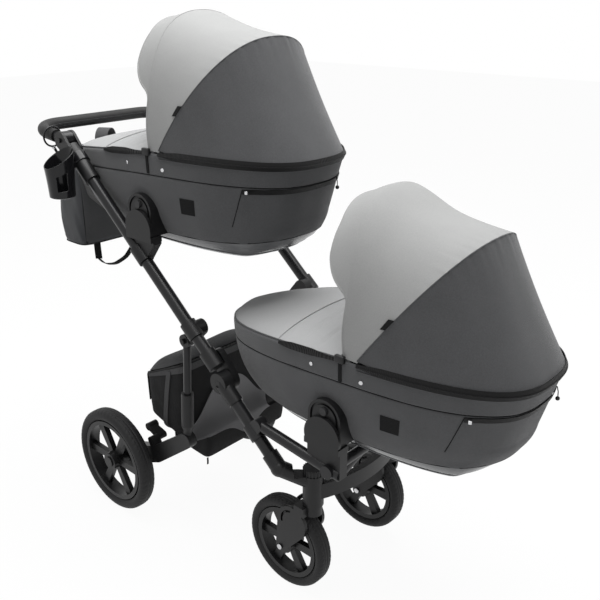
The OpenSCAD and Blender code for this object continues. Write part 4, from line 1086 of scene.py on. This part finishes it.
hangBag(makeBag("bagShell"), "bagCloth", "changing_bag")
hangBag(frontPanel("bagPocket", level(bag["pocketLow"]), pocketLine, *bag["pocket"]), "lidMesh")
hangBag(frontPanel("bagPanel", lambda y: pocketLine(y) - bag["overlap"], level(bag["panelHigh"]), *bag["panel"]),
        "bagPale")
for number, turn in enumerate((45, 135, 225, 315)):
    line = bagPoint(np.linspace(bag["bottomAt"], 0.985, 40), np.full(40, math.radians(turn)), 0.0004)
    hangBag(wire("bagPiping" + str(number), line, bag["pipingR"]), "webbing")
ring = squareTurns(np.linspace(0, 1, 97)[:-1], bag["power"])
line = bagPoint(np.full(96, bag["bottomAt"]), ring, 0.0002)
hangBag(wire("bagBottomPiping", line, bag["bottomR"], closed=True), "webbing")
zipLine = [(bag["x"], y, bag["top"] - bag["zipDrop"]) for y in np.linspace(-bag["zipHalf"], bag["zipHalf"], 30)]
hangBag(ribbon("bagZip", zipLine, (1, 0, 0), *bag["zip"]), "zipTape")
for hand, sign in hands:
    turn = sweep(0, 360, 41)[:-1]
    hookRing = columns(np.full(40, bag["hookX"]), sign * bag["hookY"] + bag["hookR"] * np.cos(turn),
                       bag["hookZ"] + bag["hookR"] * np.sin(turn))
    hangBag(wire("bagHook" + hand, hookRing, bag["wireR"], closed=True, sides=5), "rodBlack", slot="rod_metal")
    foot = np.array([bag["hookX"], sign * bag["hookY"], bag["hookZ"] - bag["hookR"]])
    corner = np.array([bag["x"], sign * bag["strapY"], bag["strapZ"]])
    sag = np.array([0, 0, bag["strapSag"]])
    strapLine = smoothLine([foot + [0, 0, -0.001], (foot * 2 + corner) / 3 - sag, (foot + corner * 2) / 3 - sag,
                            corner], 24)
    hangBag(ribbon("bagStrap" + hand, strapLine, (0.55, sign * 0.75, 0), *bag["strap"]), "webbing")
    hangBag(ball("bagSwivel" + hand, bag["swivelR"], foot + [0, 0, -0.0035]), "steel", slot="rod_metal")
hangBag(ribbon("bagTab", smoothLine(bag["tabLine"], 12), (0.7, 0.7, 0), *bag["tab"]), "webbing")
hangBag(ribbon("bagLoop", smoothLine(bag["loopLine"], 40), (1, 0, 0), *bag["loop"]), "webbing")
print("bag is hung")

# cup holder: a flared shell with a slanted mouth and three windows, clamped on the sleeve
cup = {"clamp": (-0.0872, -0.212, 0.9861), "along": (0.7524, 0, -0.6587), "sleeveR": 0.020, "collarWall": 0.003,
       "collarLong": 0.028, "y": -0.2705, "floor": 0.902, "mouth": 1.000, "slant": (0.0744, 0.62), "lowR": 0.0305,
       "flare": 0.006, "wall": 0.0025, "windows": (-28, 92, 212), "windowHalf": 21, "windowHeights": (0.20, 0.66),
       "round": 0.001, "edge": 0.0006, "bridge": (0.026, 0.016), "bridgeSink": 0.006, "bridgeDrop": 0.008,
       "fit": 0.0002}


def mouthHeight(x, y):
    return cup["mouth"] + cup["slant"][0] * x + cup["slant"][1] * y - cup["floor"]


def makeCup(name):
    levels = [(0.0, 0.003), (0.0, 0.6), (0.0, 0.93), (0.012, 1.0)] + [(h, 1.0) for h in np.linspace(0.04, 1, 26)]
    centre = np.array([cup["clamp"][0], cup["y"]])

    def shape(u, v):
        h, share = profile(levels, v)
        turn = 2 * np.pi * u
        r = (cup["lowR"] + cup["flare"] * h ** 1.4) * share
        x, y = r * np.cos(turn), r * np.sin(turn)
        return columns(centre[0] + x, centre[1] + y, cup["floor"] + h * mouthHeight(x, y))
    obj = clothGrid(name, 72, len(levels) - 1, shape, (0.22, 0.1), joined=True)
    pick(obj)
    bpy.ops.object.mode_set(mode="EDIT")
    bpy.ops.mesh.select_mode(type="FACE")
    bpy.ops.mesh.select_all(action="DESELECT")
    bpy.ops.object.mode_set(mode="OBJECT")
    low, high = cup["windowHeights"]
    for face in obj.data.polygons:
        x, y = face.center.x - centre[0], face.center.y - centre[1]
        h = (face.center.z - cup["floor"]) / mouthHeight(x, y)
        turn = math.degrees(math.atan2(y, x))
        near = min(abs((turn - window + 180) % 360 - 180) for window in cup["windows"])
        face.select = near < cup["windowHalf"] and low < h < high
    bpy.ops.object.mode_set(mode="EDIT")
    bpy.ops.mesh.delete(type="FACE")
    bpy.ops.object.mode_set(mode="OBJECT")
    applyModifier(obj, "SOLIDIFY", thickness=cup["wall"], offset=-1)
    applyModifier(obj, "BEVEL", width=cup["edge"], segments=2, limit_method="ANGLE")
    return smooth(obj, 45)


def makeClamp(name):
    along, cross = np.array(cup["along"]), np.array([0, 1, 0])
    up = np.cross(along, cross)
    inner = cup["sleeveR"] + cup["fit"]
    outer, half, edge = inner + cup["collarWall"], cup["collarLong"] / 2, cup["round"]
    section = [(inner, -half), (inner, half), (outer - edge, half), (outer, half - edge), (outer, edge - half),
               (outer - edge, -half), (inner, -half)]

    def shape(u, v):
        r, s = profile(section, v)
        turn = 2 * np.pi * u
        return (np.array(cup["clamp"]) + s[:, None] * along + (r * np.cos(turn))[:, None] * cross
                + (r * np.sin(turn))[:, None] * up)
    return smooth(clothGrid(name, 48, len(section) - 1, shape, (0.15, 0.06), joined=True), 40)


sleeveSide, cupSide = cup["clamp"][1] - cup["sleeveR"], cup["y"] + cup["lowR"]
dress(makeCup("cupShell"), "glossBlack", "chassis", "cup_gloss", "cup_holder")
dress(makeClamp("cupClamp"), "glossBlack", "chassis", "cup_gloss")
wide, high = cup["bridge"]
bridge = roundedBlock("cupBridge", (wide, sleeveSide - cupSide + cup["bridgeSink"], high),
                      (cup["clamp"][0], (sleeveSide + cupSide) / 2, cup["clamp"][2] - cup["bridgeDrop"]))
dress(bridge, "glossBlack", "chassis", "cup_gloss")
print("cup holder is clamped")

# tyres with tread, and the wheels' small metal parts
tyres = {"rear": {"x": 0, "y": 0.247, "radius": 0.150, "width": 0.046, "height": 0.031},
         "front": {"x": 0.582, "y": 0.154, "radius": 0.120, "width": 0.044, "height": 0.026}}
tread = {"grooves": (-0.0085, 0, 0.0085), "grooveHalf": 0.0012, "blocks": 60, "slant": 260, "blocksFrom": 0.010,
         "deepest": 0.0016, "ribDeep": 0.0014, "blockDeep": 0.0026, "bolt": (0.0072, 0.004)}


def makeTyre(name, place, radius, width, height):
    roundR = height / 2
    shift = width / 2 - roundR
    bend = sweep(90, -90, 19)[1:-1]
    section = [(radius, y) for y in np.linspace(-shift, shift, 15)]
    section += [(radius - roundR + roundR * math.sin(b), shift + roundR * math.cos(b)) for b in bend]
    section += [(radius - height, y) for y in np.linspace(shift, -shift, 5)]
    section += [(radius - roundR - roundR * math.sin(b), -shift - roundR * math.cos(b)) for b in bend]
    section += section[:1]

    def shape(u, v):
        r, y = profile(section, v)
        a = 2 * np.pi * u
        outer = np.clip((r - (radius - roundR * 0.75)) / (roundR * 0.5), 0, 1)
        ribs = sum(np.exp(-((y - groove) / tread["grooveHalf"]) ** 2) for groove in tread["grooves"])
        blocks = np.clip(np.sin(tread["blocks"] * a + tread["slant"] * np.abs(y)) - 0.55, 0, 1)
        blocks = blocks * (np.abs(y) > tread["blocksFrom"])
        deep = r - outer * np.clip(tread["ribDeep"] * ribs + tread["blockDeep"] * blocks, 0, tread["deepest"])
        return columns(place[0] + deep * np.cos(a), place[1] + y, place[2] + deep * np.sin(a))
    return clothGrid(name, 360, len(section) - 1, shape, (0.9, 0.1), joined=True)


for end, tyre in tyres.items():
    for hand, sign in hands:
        place = (tyre["x"], sign * tyre["y"], tyre["radius"])
        piece = makeTyre(end + "Tread" + hand, place, tyre["radius"], tyre["width"], tyre["height"])
        dress(piece, "tyreRubber", end + "_wheel_" + hand.lower(), "tyre", end + "_tyre_" + hand.lower())
for hand, sign in hands:
    low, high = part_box("caster_fork_" + hand.lower())
    faces = (low[1], high[1]) if sign < 0 else (high[1], low[1])
    for face, y in zip(("Out", "In"), faces):
        place = (tyres["front"]["x"], y, tyres["front"]["radius"])
        dress(disc("wheelBolt" + hand + face, *tread["bolt"], place, (0, 1, 0)), "steel",
              "caster_" + hand.lower(), "axle_steel")
print("tyres are cut")

# seam and two rows of stitches along the grip's inner side
grip = {"pivot": (-0.138363, 1.030884), "rise": 6, "reach": 0.158, "bendR": 0.078, "half": 0.212, "start": 0.052,
        "radius": 0.0165, "stitch": 0.0058, "rows": (-0.0034, 0.0034), "thread": 0.0007, "seam": 0.0011,
        "points": 900}


def gripPath(count):
    # along one arm, round the bend, over the bar and back
    bend, edge = grip["reach"] - grip["bendR"], grip["half"] - grip["bendR"]
    turn = sweep(0, 90, 30)
    corner = columns(bend + grip["bendR"] * np.sin(turn), -edge - grip["bendR"] * np.cos(turn))
    line = np.concatenate([[(grip["start"], -grip["half"])], corner, corner[::-1] * [1, -1],
                           [(grip["start"], grip["half"])]])
    run = runAlong(line)
    at = np.linspace(0, run[-1], count)
    return columns(*(np.interp(at, run, line[:, k]) for k in (0, 1))), at


def gripThread(name, offset, radius, wave):
    count = grip["points"]
    path, at = gripPath(count)
    way = unit(np.gradient(path, axis=0))
    inward = columns(-way[:, 1], way[:, 0])
    cosine, sine = math.cos(math.radians(grip["rise"])), math.sin(math.radians(grip["rise"]))
    back, lift = np.array([-cosine, 0, sine]), np.array([sine, 0, cosine])
    sink = math.sqrt(grip["radius"] ** 2 - offset ** 2)

    def shape(u, v):
        i = np.clip(np.round(v * (count - 1)).astype(int), 0, count - 1)
        thick = radius * (1 - wave * np.cos(np.pi * at[i] / grip["stitch"]) ** 8)
        turn = 2 * np.pi * u
        flat = path[i] + inward[i] * (sink + thick * np.cos(turn))[:, None]
        return (np.array([grip["pivot"][0], 0, grip["pivot"][1]]) + flat[:, :1] * back
                + flat[:, 1:] * np.array([0, 1, 0]) + (offset + thick * np.sin(turn))[:, None] * lift)
    return clothGrid(name, 8, count - 1, shape, (0.01, 0.6), joined=True)


dress(gripThread("gripSeam", 0.0, grip["seam"], 0.0), "gripLeather", "handle", "grip")
for number, offset in enumerate(grip["rows"]):
    dress(gripThread("gripStitch" + str(number), offset, grip["thread"], 0.85), "bagCloth", "handle", "grip")
print("grip is stitched")

# floor, light and world
studio = {"floor": 24.0, "floorTone": (0.9, 0.9, 0.9), "floorGlow": 0.95, "skyStrength": 0.44, "white": 1.0}
lamps = {"keyLamp": {"place": (0.35, 0.3, 3.3), "target": (0.3, 0, 0.7), "size": 2.6, "power": 128},
         "fillLamp": {"place": (3.2, 0.6, 2.2), "target": (0.5, 0, 0.7), "size": 2.0, "power": 34}}


def seenShare(tree):
    # rays that look at the backdrop, straight or by way of a gloss
    rays = addNode(tree, "ShaderNodeLightPath").outputs
    some = reckon(tree, "MAXIMUM", rays["Is Camera Ray"], rays["Is Glossy Ray"])
    return reckon(tree, "MAXIMUM", some, rays["Is Transmission Ray"])


clearSelection()
bpy.ops.mesh.primitive_plane_add(size=studio["floor"], location=(0.4, 0, 0))
floor = bpy.context.active_object
floor.name = "floor"
material, tree, shader = startMaterial("paleFloor")
cloud = texture(tree, "ShaderNodeTexNoise", "Object", Scale=3, Detail=2)
toneRamp(tree, shader, cloud, studio["floorTone"], 0.01)
setInputs(shader, {"Roughness": 0.9, "Specular IOR Level": 0.1})
glow = addNode(tree, "ShaderNodeEmission", Strength=studio["white"])
blend = addNode(tree, "ShaderNodeMixShader")
sources = (reckon(tree, "MULTIPLY", seenShare(tree), studio["floorGlow"]), shader.outputs[0], glow.outputs[0])
for socket, source in zip(blend.inputs, sources):
    tree.links.new(source, socket)
tree.links.new(blend.outputs[0], tree.nodes["Material Output"].inputs["Surface"])
floor.data.materials.append(material)

world = bpy.data.worlds.new("studioWorld")
bpy.context.scene.world = world
world.use_nodes = True
tree = world.node_tree
sky = tree.nodes["Background"]
setInputs(sky, {"Color": (1, 1, 1, 1)})
strength = addNode(tree, "ShaderNodeMapRange")
setInputs(strength, {"To Min": studio["skyStrength"], "To Max": studio["white"]})
tree.links.new(seenShare(tree), strength.inputs["Value"])
tree.links.new(strength.outputs["Result"], sky.inputs["Strength"])

for name, values in lamps.items():
    clearSelection()
    bpy.ops.object.light_add(type="AREA", location=values["place"])
    lamp = bpy.context.active_object
    lamp.name = name
    lamp.data.size = values["size"]
    lamp.data.energy = values["power"]
    direction = np.array(values["target"]) - np.array(values["place"])
    lamp.rotation_euler = (math.acos(direction[2] / np.linalg.norm(direction)) + math.pi, 0,
                           math.atan2(direction[1], direction[0]) - math.pi / 2)
print("studio is lit")
